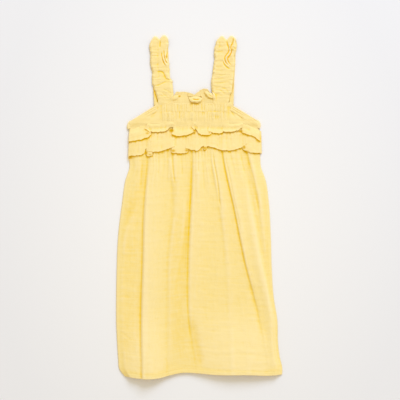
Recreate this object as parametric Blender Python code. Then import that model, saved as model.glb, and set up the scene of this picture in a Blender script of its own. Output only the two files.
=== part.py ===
"""A child's cotton sundress, laid flat on its back.

Metres, +Z up. The origin lies on the surface under the middle of the dress, +Y points to the
straps and +X to the right as seen from above. Every piece of cloth is a wall: the back panels
lie on z = 0, the front panels lie on them, and the ruffles and strap fronts lie on those.
"""

from math import pi
from typing import NamedTuple

import bmesh
import bpy
import numpy as np

for leftover in list(bpy.data.objects):
    bpy.data.objects.remove(leftover, do_unlink=True)

# ---------------------------------------------------------------- cloth and layers

WALL = 0.0012
GAP = 0.0003
CLEARANCE = 0.0003
BACK_TOP = WALL
FRONT_INSIDE = BACK_TOP + GAP
FRONT_OUTSIDE = FRONT_INSIDE + WALL

COTTON = (0.96, 0.78, 0.33, 1.0)
COTTON_ROUGHNESS = 0.9

# ---------------------------------------------------------------- levels down the dress

BACK_NECK_Y = 0.2217
NECK_LINE_Y = 0.2080
UPPER_RUFFLE_SEAM_Y = 0.1725
LOWER_RUFFLE_SEAM_Y = 0.1570
WAIST_Y = 0.1500
HEM_Y = -0.3350


class SideLine(NamedTuple):
    """How far the cloth reaches to each side at one height."""

    y: float
    left: float
    right: float


class EdgePoint(NamedTuple):
    """A point of an edge seen from above."""

    x: float
    y: float


class Fold(NamedTuple):
    """A long soft fold: a steep face on its left of the crest, a slow fall on its right."""

    crest_x: tuple
    height: tuple
    left: float
    right: float


class Lobe(NamedTuple):
    """A stretch of an edge that is lifted or turned, its middle, half width and amount."""

    x: float
    half_width: float
    amount: float


class Scallop(NamedTuple):
    """One wave of a ruffle's free edge, between two pinches."""

    left: float
    right: float
    belly_y: float
    pinch_y: float
    lift: float


class Ribbon(NamedTuple):
    """A strip that is folded round one end: its corners on the front, and its outer bulge."""

    start_outer: tuple
    start_inner: tuple
    end_outer: tuple
    end_middle: tuple
    end_inner: tuple


# ---------------------------------------------------------------- skirt

SKIRT_SIDES = (
    SideLine(0.1500, -0.1390, 0.1160),
    SideLine(0.0840, -0.1390, 0.1210),
    SideLine(0.0540, -0.1490, 0.1310),
    SideLine(0.0120, -0.1550, 0.1370),
    SideLine(-0.0540, -0.1630, 0.1410),
    SideLine(-0.1200, -0.1660, 0.1430),
    SideLine(-0.1800, -0.1670, 0.1470),
    SideLine(-0.2280, -0.1670, 0.1545),
    SideLine(-0.2700, -0.1650, 0.1555),
    SideLine(-0.3000, -0.1630, 0.1590),
    SideLine(-0.3220, -0.1600, 0.1640),
    SideLine(-0.3350, -0.1500, 0.1640),
)
HEM_EDGE = (
    EdgePoint(-0.1500, -0.3380),
    EdgePoint(-0.1170, -0.3420),
    EdgePoint(-0.0770, -0.3400),
    EdgePoint(-0.0590, -0.3350),
    EdgePoint(-0.0370, -0.3305),
    EdgePoint(-0.0050, -0.3310),
    EdgePoint(0.0250, -0.3340),
    EdgePoint(0.1010, -0.3350),
    EdgePoint(0.1350, -0.3360),
    EdgePoint(0.1640, -0.3335),
)

FOLD_Y = (0.150, 0.100, 0.000, -0.110, -0.220, -0.335)
LEFT_PLEAT = Fold(
    (-0.097, -0.101, -0.112, -0.116, -0.116, -0.114),
    (0.0020, 0.0030, 0.0050, 0.0055, 0.0055, 0.0045),
    0.004, 0.046)
MIDDLE_PLEAT = Fold(
    (-0.014, -0.015, -0.021, -0.025, -0.022, -0.002),
    (0.0020, 0.0028, 0.0045, 0.0052, 0.0042, 0.0020),
    0.004, 0.050)
RIGHT_PLEAT = Fold(
    (0.044, 0.049, 0.069, 0.090, 0.117, 0.138),
    (0.0020, 0.0028, 0.0050, 0.0055, 0.0040, 0.0012),
    0.004, 0.036)
PLEATS = (LEFT_PLEAT, MIDDLE_PLEAT, RIGHT_PLEAT)
SOFT_FOLDS = (
    Fold((-0.122, -0.123, -0.134, -0.158, -0.160, -0.155),
         (0.0010, 0.0016, 0.0018, 0.0000, 0.0000, 0.0000), 0.010, 0.018),
    Fold((-0.056, -0.055, -0.049, -0.059, -0.060, -0.060),
         (0.0014, 0.0022, 0.0020, 0.0014, 0.0010, 0.0010), 0.008, 0.026),
    Fold((-0.005, -0.005, -0.004, -0.004, -0.004, -0.004),
         (0.0014, 0.0018, 0.0000, 0.0000, 0.0000, 0.0000), 0.006, 0.010),
    Fold((0.022, 0.026, 0.043, 0.055, 0.060, 0.065),
         (0.0014, 0.0024, 0.0018, 0.0008, 0.0006, 0.0006), 0.007, 0.022),
    Fold((0.070, 0.078, 0.099, 0.119, 0.144, 0.152),
         (0.0008, 0.0010, 0.0018, 0.0024, 0.0022, 0.0010), 0.016, 0.014),
    Fold((0.094, 0.098, 0.119, 0.133, 0.140, 0.145),
         (0.0014, 0.0024, 0.0012, 0.0000, 0.0000, 0.0000), 0.005, 0.016),
)
HEM_LIFTS = (
    Lobe(-0.112, 0.048, 0.0035),
    Lobe(0.075, 0.095, 0.0050),
)
HEM_LIFT_START_Y = -0.190
SKIRT_LOFT = 0.0016
SKIRT_EDGE_ROLL = 0.016

WAIST_GATHERS = 17
WAIST_GATHER_HEIGHT = 0.0013
WAIST_GATHER_FADE = 0.085
WAIST_GATHER_SHIFT = 0.012
WAIST_GATHER_SHIFT_WAVES = 3.3
WAIST_GATHER_UNEVEN = 0.25
WAIST_GATHER_UNEVEN_WAVES = 5.1

SKIRT_ROWS_Y = (
    WAIST_Y, 0.118, 0.098, 0.080, 0.060, 0.036, 0.006, -0.032, -0.074, -0.118,
    -0.162, -0.204, -0.242, -0.276, -0.304, -0.322, HEM_Y)
SKIRT_COLUMNS = (8, 16, 16, 11)
STEEPEST = 1.4
BACK_HEM_POINTS = 24

# ---------------------------------------------------------------- bodice

BODICE_SIDES = (
    SideLine(0.2360, -0.0880, 0.0630),
    SideLine(0.2080, -0.0880, 0.0630),
    SideLine(0.2000, -0.0925, 0.0690),
    SideLine(0.1900, -0.1090, 0.0820),
    SideLine(0.1800, -0.1270, 0.1000),
    SideLine(0.1710, -0.1400, 0.1140),
    SideLine(0.1640, -0.1430, 0.1190),
    SideLine(0.1560, -0.1415, 0.1165),
    SideLine(0.1500, -0.1390, 0.1160),
)
SHIRR_LEFT_X = -0.0790
SHIRR_RIGHT_X = 0.0560
SHIRR_GATHERS = 28
ELASTIC_Y = (0.2080, 0.1910, 0.1740)
SHIRR_LOW = 0.0010
SHIRR_HIGH = 0.0026
SHIRR_STITCH_HALF = 0.0022
SHIRR_AT_THREAD = 0.25
SHIRR_BY_THREAD = 0.85
SHIRR_UNEVEN = 0.25
SHIRR_UNEVEN_STEP = 1.7
SHIRR_END_DROP = 0.0015
WING_COLUMNS = 4

HEADER_ROWS = 7
HEADER_TUCKED_LENGTH = 0.0030
HEADER_LENGTHS = (
    EdgePoint(-0.0580, 0.0030),
    EdgePoint(-0.0500, 0.0160),
    EdgePoint(-0.0350, 0.0190),
    EdgePoint(-0.0230, 0.0200),
    EdgePoint(-0.0090, 0.0250),
    EdgePoint(0.0030, 0.0260),
    EdgePoint(0.0120, 0.0275),
    EdgePoint(0.0200, 0.0240),
    EdgePoint(0.0250, 0.0150),
    EdgePoint(0.0300, 0.0030),
)
HEADER_FLOPS = (
    Lobe(-0.0480, 0.0075, 0.50),
    Lobe(-0.0090, 0.0150, 1.00),
    Lobe(0.0190, 0.0100, 0.62),
)
HEADER_FLOP_FLANK = 0.55
HEADER_BEND_START = 0.0060
HEADER_BEND_LENGTH = 0.0100
HEADER_RISE = 0.10
HEADER_FLATTENING = 0.5

BACK_NECK_EDGE = (
    EdgePoint(-0.0520, BACK_NECK_Y),
    EdgePoint(-0.0490, 0.2290),
    EdgePoint(-0.0330, 0.2310),
    EdgePoint(-0.0230, 0.2285),
    EdgePoint(-0.0120, 0.2245),
    EdgePoint(-0.0070, 0.2300),
    EdgePoint(0.0010, 0.2335),
    EdgePoint(0.0110, 0.2350),
    EdgePoint(0.0190, 0.2330),
    EdgePoint(0.0215, BACK_NECK_Y),
)

# ---------------------------------------------------------------- ruffles

UPPER_SCALLOPS = (
    Scallop(-0.1430, -0.1000, 0.1325, 0.1400, 0.0030),
    Scallop(-0.1000, -0.0590, 0.1475, 0.1550, 0.0040),
    Scallop(-0.0590, -0.0105, 0.1402, 0.1540, 0.0044),
    Scallop(-0.0105, 0.0175, 0.1415, 0.1520, 0.0034),
    Scallop(0.0175, 0.0465, 0.1445, 0.1510, 0.0034),
    Scallop(0.0465, 0.0805, 0.1495, 0.1545, 0.0038),
    Scallop(0.0805, 0.1190, 0.1385, 0.1400, 0.0030),
)
LOWER_SCALLOPS = (
    Scallop(-0.1445, -0.1090, 0.1000, 0.1070, 0.0028),
    Scallop(-0.1090, -0.0980, 0.1015, 0.1085, 0.0020),
    Scallop(-0.0980, -0.0560, 0.1085, 0.1160, 0.0040),
    Scallop(-0.0560, -0.0240, 0.1050, 0.1150, 0.0036),
    Scallop(-0.0240, 0.0080, 0.1085, 0.1180, 0.0034),
    Scallop(0.0080, 0.0830, 0.1110, 0.1160, 0.0046),
    Scallop(0.0830, 0.1225, 0.1065, 0.1090, 0.0030),
)
SCALLOP_COLUMN = 0.0052
SCALLOP_SHARPNESS = 0.60
SCALLOP_LEAST_COLUMNS = 4
RUFFLE_LIFT_POWER = 1.4
RUFFLE_BEYOND_SEAM = 0.0075
RUFFLE_SKIRT_REACH = 0.0030
RUFFLE_RUFFLE_REACH = 0.0020
RUFFLE_ROWS = 6
RUFFLE_SEAM_WAVES = 26
RUFFLE_SEAM_WAVE = 0.0005
RUFFLE_EDGE_INSET = 0.0010
RUFFLE_CASING_GAP = 0.0014

# ---------------------------------------------------------------- straps

LEFT_STRAP_SIDES = (
    SideLine(0.2060, -0.0860, -0.0590),
    SideLine(0.2200, -0.0865, -0.0580),
    SideLine(0.2340, -0.0890, -0.0540),
    SideLine(0.2460, -0.0945, -0.0550),
    SideLine(0.2560, -0.0965, -0.0570),
    SideLine(0.2700, -0.0950, -0.0605),
    SideLine(0.2880, -0.0985, -0.0620),
    SideLine(0.3000, -0.0995, -0.0645),
    SideLine(0.3120, -0.0990, -0.0650),
    SideLine(0.3240, -0.1005, -0.0630),
    SideLine(0.3350, -0.0975, -0.0640),
)
RIGHT_STRAP_SIDES = (
    SideLine(0.2060, 0.0330, 0.0620),
    SideLine(0.2200, 0.0320, 0.0625),
    SideLine(0.2340, 0.0240, 0.0650),
    SideLine(0.2460, 0.0225, 0.0690),
    SideLine(0.2580, 0.0230, 0.0670),
    SideLine(0.2700, 0.0250, 0.0690),
    SideLine(0.2880, 0.0275, 0.0705),
    SideLine(0.3000, 0.0290, 0.0690),
    SideLine(0.3180, 0.0290, 0.0730),
    SideLine(0.3300, 0.0325, 0.0730),
    SideLine(0.3370, 0.0350, 0.0715),
)
LEFT_STRAP_BACK_X = (-0.0930, -0.0590)
RIGHT_STRAP_BACK_X = (0.0260, 0.0690)
LEFT_STRAP_TOP = (0.3330, 0.3405, 0.3355, 0.3425, 0.3370)
RIGHT_STRAP_TOP = (0.3368, 0.3418, 0.3362, 0.3420, 0.3385)

STRAP_BACK_END_Y = BACK_NECK_Y + GAP
STRAP_COLUMNS = 12
STRAP_FRONT_ROWS = 27
STRAP_FOLD_ROWS = 5
STRAP_BACK_ROWS = 5
STRAP_FRONT_Z = 0.0052
STRAP_GATHERS = 13
STRAP_GATHER_HEIGHT = 0.0006
STRAP_FRILL_WAVES = 8
STRAP_FRILL_HEIGHT = 0.0018
STRAP_BASE_SHARE = 0.06
STRAP_TOP_SHARE = 0.10
STRAP_BACK_Z = WALL / 2

# ---------------------------------------------------------------- armhole casings

LEFT_CASING = Ribbon(
    (-0.0895, 0.2035), (-0.0835, 0.1935),
    (-0.1385, 0.1725), (-0.1435, 0.1650), (-0.1425, 0.1570))
RIGHT_CASING = Ribbon(
    (0.0650, 0.2040), (0.0590, 0.1945),
    (0.1135, 0.1740), (0.1190, 0.1665), (0.1175, 0.1580))
CASING_COLUMNS = 6
CASING_FRONT_ROWS = 12
CASING_FOLD_ROWS = 5
CASING_BACK_ROWS = 3
CASING_FRONT_Z = FRONT_OUTSIDE + GAP + WALL / 2 + CLEARANCE
CASING_BACK_Z = WALL / 2
CASING_RIDGES = 2
CASING_RIDGE_HEIGHT = 0.0004
CASING_END_SHARE = 0.15

# ---------------------------------------------------------------- curves and grids


def eased(t):
    """A rise from 0 to 1 that starts and ends level, held outside that range."""
    t = np.clip(t, 0.0, 1.0)
    return t * t * (3.0 - 2.0 * t)


def smooth_through(stations, values, at):
    """A smooth curve through values at rising stations, read at the places given."""
    stations, values = np.asarray(stations, float), np.asarray(values, float)
    slopes = np.gradient(values, stations)
    at = np.clip(at, stations[0], stations[-1])
    i = np.clip(np.searchsorted(stations, at, side="right") - 1, 0, len(stations) - 2)
    span = stations[i + 1] - stations[i]
    t = (at - stations[i]) / span
    start, end = values[i], values[i + 1]
    rise_start, rise_end = slopes[i] * span, slopes[i + 1] * span
    return (
        (2 * t**3 - 3 * t**2 + 1) * start
        + (t**3 - 2 * t**2 + t) * rise_start
        + (3 * t**2 - 2 * t**3) * end
        + (t**3 - t**2) * rise_end
    )


def side_x(sides, y):
    """The left and right reach of a table of side lines at height y."""
    rows = sorted(sides, key=lambda row: row.y)
    stations = [row.y for row in rows]
    left = smooth_through(stations, [row.left for row in rows], y)
    right = smooth_through(stations, [row.right for row in rows], y)
    return left, right


def lobes_at(lobes, x, flank):
    """The sum of some lobes at x, each a hump whose flanks take that share of its half."""
    total = np.zeros_like(x)
    for lobe in lobes:
        inward = 1.0 - np.abs(x - lobe.x) / lobe.half_width
        total = total + lobe.amount * eased(inward / flank)
    return total


def offset_walls(middle, thickness):
    """The two faces of a wall round a grid of points, half its thickness to each side."""
    across = np.gradient(middle, axis=1)
    along = np.gradient(middle, axis=0)
    normal = np.cross(across, along)
    normal /= np.linalg.norm(normal, axis=2, keepdims=True)
    return middle + normal * thickness / 2, middle - normal * thickness / 2


# ---------------------------------------------------------------- objects

collection = bpy.data.collections.new("sundress")
bpy.context.scene.collection.children.link(collection)


def cotton(name):
    """The cotton of one piece."""
    material = bpy.data.materials.new(name)
    material.use_nodes = True
    shader = material.node_tree.nodes["Principled BSDF"]
    shader.inputs["Base Color"].default_value = COTTON
    shader.inputs["Roughness"].default_value = COTTON_ROUGHNESS
    shader.inputs["Metallic"].default_value = 0.0
    return material


def add_object(name, data):
    """An object for one piece, in the dress's collection, with its own cotton."""
    piece = bpy.data.objects.new(name, data)
    data.materials.append(cotton(name + "_cotton"))
    collection.objects.link(piece)
    return piece


def wall_between(name, outer, inner):
    """A closed wall between two grids of points with the same rows and columns."""
    rows, columns = outer.shape[:2]
    shell = bmesh.new()
    top = [[shell.verts.new(outer[r, c]) for c in range(columns)] for r in range(rows)]
    low = [[shell.verts.new(inner[r, c]) for c in range(columns)] for r in range(rows)]
    for r in range(rows - 1):
        for c in range(columns - 1):
            shell.faces.new((top[r][c], top[r][c + 1], top[r + 1][c + 1], top[r + 1][c]))
            shell.faces.new((low[r][c], low[r + 1][c], low[r + 1][c + 1], low[r][c + 1]))
    for c in range(columns - 1):
        shell.faces.new((top[0][c + 1], top[0][c], low[0][c], low[0][c + 1]))
        shell.faces.new((top[-1][c], top[-1][c + 1], low[-1][c + 1], low[-1][c]))
    for r in range(rows - 1):
        shell.faces.new((top[r][0], top[r + 1][0], low[r + 1][0], low[r][0]))
        shell.faces.new((top[r + 1][-1], top[r][-1], low[r][-1], low[r + 1][-1]))
    bmesh.ops.recalc_face_normals(shell, faces=shell.faces)
    mesh = bpy.data.meshes.new(name)
    shell.to_mesh(mesh)
    shell.free()
    return add_object(name, mesh)


def flat_panel(name, outline):
    """A flat wall on the surface, with a closed outline of points."""
    curve = bpy.data.curves.new(name, "CURVE")
    curve.dimensions = "2D"
    curve.fill_mode = "BOTH"
    curve.extrude = WALL / 2
    edge = curve.splines.new("POLY")
    edge.points.add(len(outline) - 1)
    for point, (x, y) in zip(edge.points, outline):
        point.co = (x, y, 0.0, 1.0)
    edge.use_cyclic_u = True
    panel = add_object(name, curve)
    panel.location.z = WALL / 2
    return panel


# ---------------------------------------------------------------- skirt


def fold_height(fold, x, y):
    """How high one fold stands at points of the skirt."""
    rising = np.array(FOLD_Y[::-1])
    crest = smooth_through(rising, fold.crest_x[::-1], y)
    height = np.maximum(smooth_through(rising, fold.height[::-1], y), 0.0)
    side = x - crest
    shape = np.where(side < 0, eased(1.0 + side / fold.left), eased(1.0 - side / fold.right))
    return height * shape


def waist_gathers(x, y):
    """The fine gathers below the waist seam, fading down the skirt."""
    left, right = side_x(SKIRT_SIDES, y)
    share = (x - left) / (right - left)
    shift = WAIST_GATHER_SHIFT * np.sin(2 * pi * WAIST_GATHER_SHIFT_WAVES * share)
    phase = WAIST_GATHERS * (share + shift)
    swell = np.cos(2 * pi * WAIST_GATHER_UNEVEN_WAVES * share)
    uneven = 1.0 + WAIST_GATHER_UNEVEN * (swell - 1.0)
    fade = np.exp(-np.maximum(WAIST_Y - y, 0.0) / WAIST_GATHER_FADE)
    return WAIST_GATHER_HEIGHT * uneven * fade * (1.0 + np.cos(2 * pi * phase)) / 2


def skirt_top(x, y):
    """The outer face of the skirt's front at points in plan."""
    left, right = side_x(SKIRT_SIDES, y)
    inward = np.minimum(x - left, right - x)
    roll = eased(inward / SKIRT_EDGE_ROLL)
    hem_share = eased((HEM_LIFT_START_Y - y) / (HEM_LIFT_START_Y - HEM_Y))
    height = SKIRT_LOFT + waist_gathers(x, y) + hem_share * lobes_at(HEM_LIFTS, x, 1.0)
    for fold in PLEATS + SOFT_FOLDS:
        height = height + fold_height(fold, x, y)
    return FRONT_OUTSIDE + roll * height


def skirt_columns(y):
    """The columns of the skirt's front at height y, one on each side of every pleat's face."""
    left, right = side_x(SKIRT_SIDES, y)
    rising = np.array(FOLD_Y[::-1])
    xs, start = [], left
    for fold, count in zip(PLEATS, SKIRT_COLUMNS):
        crest = float(smooth_through(rising, fold.crest_x[::-1], y))
        xs.extend(np.linspace(start, crest - fold.left, count, endpoint=True))
        start = crest
    xs.extend(np.linspace(start, right, SKIRT_COLUMNS[-1] + 1, endpoint=True))
    return np.array(xs)


def hem_y(x):
    """The height of the hem's edge at x."""
    return smooth_through([p.x for p in HEM_EDGE], [p.y for p in HEM_EDGE], x)


def build_skirt_front():
    """The gathered front of the skirt, rolled down to the side seams."""
    outer = []
    for y_nominal in SKIRT_ROWS_Y:
        xs = skirt_columns(y_nominal)
        share = (WAIST_Y - y_nominal) / (WAIST_Y - HEM_Y)
        ys = WAIST_Y - GAP + share * (hem_y(xs) - WAIST_Y)
        outer.append(np.stack([xs, ys, skirt_top(xs, np.full_like(xs, y_nominal))], axis=1))
    outer = np.array(outer)
    slope_x = np.gradient(outer[:, :, 2], axis=1) / np.gradient(outer[:, :, 0], axis=1)
    drop = WALL * np.sqrt(1.0 + np.minimum(np.abs(slope_x), STEEPEST) ** 2)
    inner = outer.copy()
    inner[:, :, 2] = np.maximum(outer[:, :, 2] - drop, FRONT_INSIDE)
    wall_between("skirt_front", outer, inner)


def build_skirt_back():
    """The plain back of the skirt, flat on the surface."""
    ys = np.array(SKIRT_ROWS_Y)
    left, right = side_x(SKIRT_SIDES, ys)
    left, right = left + GAP, right - GAP
    hem_x = np.linspace(left[-1], right[-1], BACK_HEM_POINTS)[1:-1]
    shares = (WAIST_Y - ys) / (WAIST_Y - HEM_Y)
    left_y = WAIST_Y - GAP + shares * (hem_y(left) - WAIST_Y + GAP)
    right_y = WAIST_Y - GAP + shares * (hem_y(right) - WAIST_Y + GAP)
    outline = list(zip(left, left_y))
    outline += list(zip(hem_x, hem_y(hem_x) + GAP))
    outline += list(zip(right[::-1], right_y[::-1]))
    flat_panel("skirt_back", outline)


# ---------------------------------------------------------------- bodice


def bodice_columns(y):
    """The columns of the bodice's front: a wing on each side, and two for each gather."""
    left, right = side_x(BODICE_SIDES, y)
    gathers = np.linspace(SHIRR_LEFT_X, SHIRR_RIGHT_X, 2 * SHIRR_GATHERS + 1)
    wing_left = np.linspace(left, SHIRR_LEFT_X, WING_COLUMNS + 1)[:-1]
    wing_right = np.linspace(SHIRR_RIGHT_X, right, WING_COLUMNS + 1)[1:]
    return np.concatenate([wing_left, gathers, wing_right])


def shirr_rows():
    """Heights and fullness of the rows between the elastic threads, from the top down."""
    rows = []
    for upper, lower in zip(ELASTIC_Y, ELASTIC_Y[1:]):
        rows.append((upper, SHIRR_AT_THREAD))
        rows.append((upper - SHIRR_STITCH_HALF, SHIRR_BY_THREAD))
        rows.append(((upper + lower) / 2, 1.0))
        rows.append((lower + SHIRR_STITCH_HALF, SHIRR_BY_THREAD))
    rows.append((ELASTIC_Y[-1], SHIRR_AT_THREAD))
    return rows


def gather_wave(columns):
    """1 on the crest of each gather and 0 in each trough, and 0 on the plain wings."""
    wave = np.zeros(columns)
    index = np.arange(2 * SHIRR_GATHERS + 1)
    uneven = 1.0 + SHIRR_UNEVEN * (np.sin(SHIRR_UNEVEN_STEP * index) - 1.0)
    wave[WING_COLUMNS : WING_COLUMNS + len(index)] = np.where(index % 2 == 1, uneven, 0.0)
    return wave


def header_grid(xs):
    """The frill above the top thread: a strip that stands up, or flops over to the front."""
    length = smooth_through([p.x for p in HEADER_LENGTHS], [p.y for p in HEADER_LENGTHS], xs)
    length = np.maximum(length, HEADER_TUCKED_LENGTH)
    flop = lobes_at(HEADER_FLOPS, xs, HEADER_FLOP_FLANK)
    y = np.full_like(xs, NECK_LINE_Y)
    z = np.full_like(xs, FRONT_INSIDE + WALL / 2)
    rows = [np.stack([xs, y, z], axis=1)]
    for row in range(1, HEADER_ROWS + 1):
        step = length / HEADER_ROWS
        travelled = step * (row - 0.5)
        turn = pi * flop * eased((travelled - HEADER_BEND_START) / HEADER_BEND_LENGTH)
        turn = turn + HEADER_RISE * (1.0 - flop)
        y = y + step * np.cos(turn)
        z = z + step * np.sin(turn) * HEADER_FLATTENING
        rows.append(np.stack([xs, y, z], axis=1))
    return np.array(rows)


def build_bodice_front():
    """The shirred front of the bodice with the neck frill that is cut in one with it."""
    outer, inner = [], []
    xs = bodice_columns(NECK_LINE_Y)
    header_front, header_back = offset_walls(header_grid(xs), WALL)
    outer.extend(header_front[:0:-1])
    inner.extend(header_back[:0:-1])
    wave = gather_wave(len(xs))
    body = shirr_rows() + [(ELASTIC_Y[-1] - SHIRR_END_DROP, 0.0), (WAIST_Y + GAP, 0.0)]
    for y, fullness in body:
        xs = bodice_columns(y)
        ys = np.full_like(xs, y)
        shirr = SHIRR_LOW + (SHIRR_HIGH - SHIRR_LOW) * fullness * wave
        wings = wave == 0.0
        thickness = np.where(wings, WALL if fullness == 0.0 else SHIRR_LOW, shirr)
        outer.append(np.stack([xs, ys, FRONT_INSIDE + thickness], axis=1))
        inner.append(np.stack([xs, ys, np.full_like(xs, FRONT_INSIDE)], axis=1))
    wall_between("bodice_front", np.array(outer), np.array(inner))


def casing_inner_line(casing, inset):
    """The inner edge of a casing, from the strap to the underarm, moved towards the panel."""
    start, end = np.array(casing.start_inner), np.array(casing.end_inner)
    along = (end - start) / np.linalg.norm(end - start)
    inward = np.array((along[1], -along[0]))
    if inward[1] > 0:
        inward = -inward
    return start + inward * inset, end + inward * inset


def build_bodice_back():
    """The plain back of the bodice, with the neck frill that shows behind the front."""
    left_start, left_end = casing_inner_line(LEFT_CASING, GAP + WALL)
    right_start, right_end = casing_inner_line(RIGHT_CASING, GAP + WALL)
    side_left, side_right = side_x(BODICE_SIDES, WAIST_Y)
    outline = [(p.x, p.y) for p in BACK_NECK_EDGE]
    outline += [(RIGHT_CASING.start_inner[0], BACK_NECK_Y), tuple(right_start)]
    outline += [tuple(right_end), (side_right, WAIST_Y + GAP)]
    outline += [(side_left, WAIST_Y + GAP), tuple(left_end)]
    outline += [tuple(left_start), (LEFT_CASING.start_inner[0], BACK_NECK_Y)]
    flat_panel("bodice_back", outline)


# ---------------------------------------------------------------- ruffles


def scallop_columns(scallops):
    """The columns of a ruffle: their x, the edge's height and its lift, pinch to pinch."""
    xs, edges, lifts = [], [], []
    for index, scallop in enumerate(scallops):
        width = scallop.right - scallop.left
        count = max(SCALLOP_LEAST_COLUMNS, round(width / SCALLOP_COLUMN))
        last = index == len(scallops) - 1
        share = np.linspace(0.0, 1.0, count + 1)[: count + 1 if last else count]
        arch = np.sin(pi * share) ** SCALLOP_SHARPNESS
        xs.extend(scallop.left + width * share)
        edges.extend(scallop.pinch_y + (scallop.belly_y - scallop.pinch_y) * arch)
        lifts.extend(scallop.lift * arch)
    return np.array(xs), np.array(edges), np.array(lifts)


def seam_below_casings(x, level, gap):
    """A ruffle's seam: level in the middle, and turned down along the casing at each side."""
    seam = np.full_like(x, level)
    for casing in (LEFT_CASING, RIGHT_CASING):
        start, end = np.array(casing.start_inner), np.array(casing.end_inner)
        slope = (end[1] - start[1]) / (end[0] - start[0])
        seam = np.minimum(seam, start[1] + slope * (x - start[0]) - gap)
    return seam


def upper_seam_y(x):
    """The seam of the upper ruffle."""
    return seam_below_casings(x, UPPER_RUFFLE_SEAM_Y, RUFFLE_CASING_GAP)


def lower_seam_y(x):
    """The seam of the lower ruffle, kept under the upper one."""
    return seam_below_casings(x, LOWER_RUFFLE_SEAM_Y, 2 * RUFFLE_CASING_GAP)


def ruffle_top(scallops, seam, under, x, y):
    """The outer face of a ruffle at points in plan, above what it lies on."""
    xs, edges, lifts = scallop_columns(scallops)
    edge = np.interp(x, xs, edges)
    lift = np.interp(x, xs, lifts)
    share = np.clip((seam(x) - y) / (seam(x) - edge), 0.0, 1.0)
    along = (x - xs[0]) / (xs[-1] - xs[0])
    gathers = RUFFLE_SEAM_WAVE * (1.0 + np.sin(2 * pi * RUFFLE_SEAM_WAVES * along))
    body = lift * share**RUFFLE_LIFT_POWER + gathers * np.sin(pi * share)
    return under(x, y) + GAP + CLEARANCE + WALL + body


def highest_near(top, x, y, reach):
    """The highest that a surface stands close to each point."""
    steps = (-reach, 0.0, reach)
    return np.max([top(x + dx, y + dy) for dx in steps for dy in steps], axis=0)


def under_lower_ruffle(x, y):
    """What the lower ruffle lies on: the bodice above the waist and the skirt below it."""
    return highest_near(skirt_top, x, np.minimum(y, WAIST_Y), RUFFLE_SKIRT_REACH)


def lower_ruffle_top(x, y):
    """The outer face of the lower ruffle."""
    return ruffle_top(LOWER_SCALLOPS, lower_seam_y, under_lower_ruffle, x, y)


def under_upper_ruffle(x, y):
    """What the upper ruffle lies on: the bodice, then the lower ruffle."""
    low = np.minimum(y, LOWER_RUFFLE_SEAM_Y)
    ruffle = highest_near(lower_ruffle_top, x, low, RUFFLE_RUFFLE_REACH)
    climb = UPPER_RUFFLE_SEAM_Y - LOWER_RUFFLE_SEAM_Y - RUFFLE_BEYOND_SEAM
    reached = eased((UPPER_RUFFLE_SEAM_Y - y) / climb)
    return FRONT_OUTSIDE + (ruffle - FRONT_OUTSIDE) * reached


def upper_ruffle_top(x, y):
    """The outer face of the upper ruffle."""
    return ruffle_top(UPPER_SCALLOPS, upper_seam_y, under_upper_ruffle, x, y)


def build_ruffle(name, scallops, seam, top):
    """One gathered tier, from its seam down to its scalloped edge."""
    xs, edges, _ = scallop_columns(scallops)
    narrow = RUFFLE_EDGE_INSET
    seam_xs = np.interp(xs, (xs[0], xs[-1]), (xs[0] + narrow, xs[-1] - narrow))
    outer = []
    for share in np.linspace(0.0, 1.0, RUFFLE_ROWS):
        x = seam_xs + (xs - seam_xs) * share
        y = seam(seam_xs) + (edges - seam(seam_xs)) * share
        outer.append(np.stack([x, y, top(x, y)], axis=1))
    outer = np.array(outer)
    inner = outer.copy()
    inner[:, :, 2] -= WALL
    wall_between(name, outer, inner)


# ---------------------------------------------------------------- folded strips


def build_strap(name, sides, back_x, top_y):
    """A gathered strap: up the front, over the fold at the shoulder and down the back."""
    across = np.linspace(0.0, 1.0, STRAP_COLUMNS + 1)
    rim = np.abs(2 * across - 1) ** 2
    fold_y = smooth_through(np.linspace(0, 1, len(top_y)), top_y, across)
    base_y = sides[0].y
    half_z = (STRAP_FRONT_Z - STRAP_BACK_Z) / 2
    rows = []
    for share in np.linspace(0.0, 1.0, STRAP_FRONT_ROWS + 1):
        y = base_y + share * (fold_y - half_z - base_y)
        left, right = side_x(sides, y)
        x = left + (right - left) * across
        gathers = STRAP_GATHER_HEIGHT * np.cos(2 * pi * STRAP_GATHERS * share)
        frill = STRAP_FRILL_HEIGHT * (1 + np.sin(2 * pi * (STRAP_FRILL_WAVES * share + across)))
        level = eased(share / STRAP_BASE_SHARE) * eased((1 - share) / STRAP_TOP_SHARE)
        z = STRAP_FRONT_Z + level * (gathers * (1 - rim) + frill * rim)
        rows.append(np.stack([x, y, z], axis=1))
    left, right = side_x(sides, fold_y)
    fold_x = left + (right - left) * across
    middle_z = (STRAP_FRONT_Z + STRAP_BACK_Z) / 2
    for angle in np.linspace(0.0, pi, STRAP_FOLD_ROWS + 2)[1:-1]:
        y = fold_y - half_z + half_z * np.sin(angle)
        z = np.full_like(y, middle_z + half_z * np.cos(angle))
        rows.append(np.stack([fold_x, y, z], axis=1))
    end_x = back_x[0] + (back_x[1] - back_x[0]) * across
    for share in np.linspace(0.0, 1.0, STRAP_BACK_ROWS + 1):
        x = fold_x + (end_x - fold_x) * eased(share)
        y = fold_y - half_z + share * (STRAP_BACK_END_Y - fold_y + half_z)
        rows.append(np.stack([x, y, np.full_like(y, STRAP_BACK_Z)], axis=1))
    outer, inner = offset_walls(np.array(rows), WALL)
    flatten_underside(outer, inner, STRAP_BACK_ROWS + 1)
    wall_between(name, outer, inner)


def flatten_underside(first, second, count):
    """Makes the last rows of a folded strip exactly flat, on the surface and one wall up."""
    lower, upper = (first, second) if first[-1, 0, 2] < second[-1, 0, 2] else (second, first)
    lower[-count:, :, 2] = 0.0
    upper[-count:, :, 2] = WALL


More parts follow.
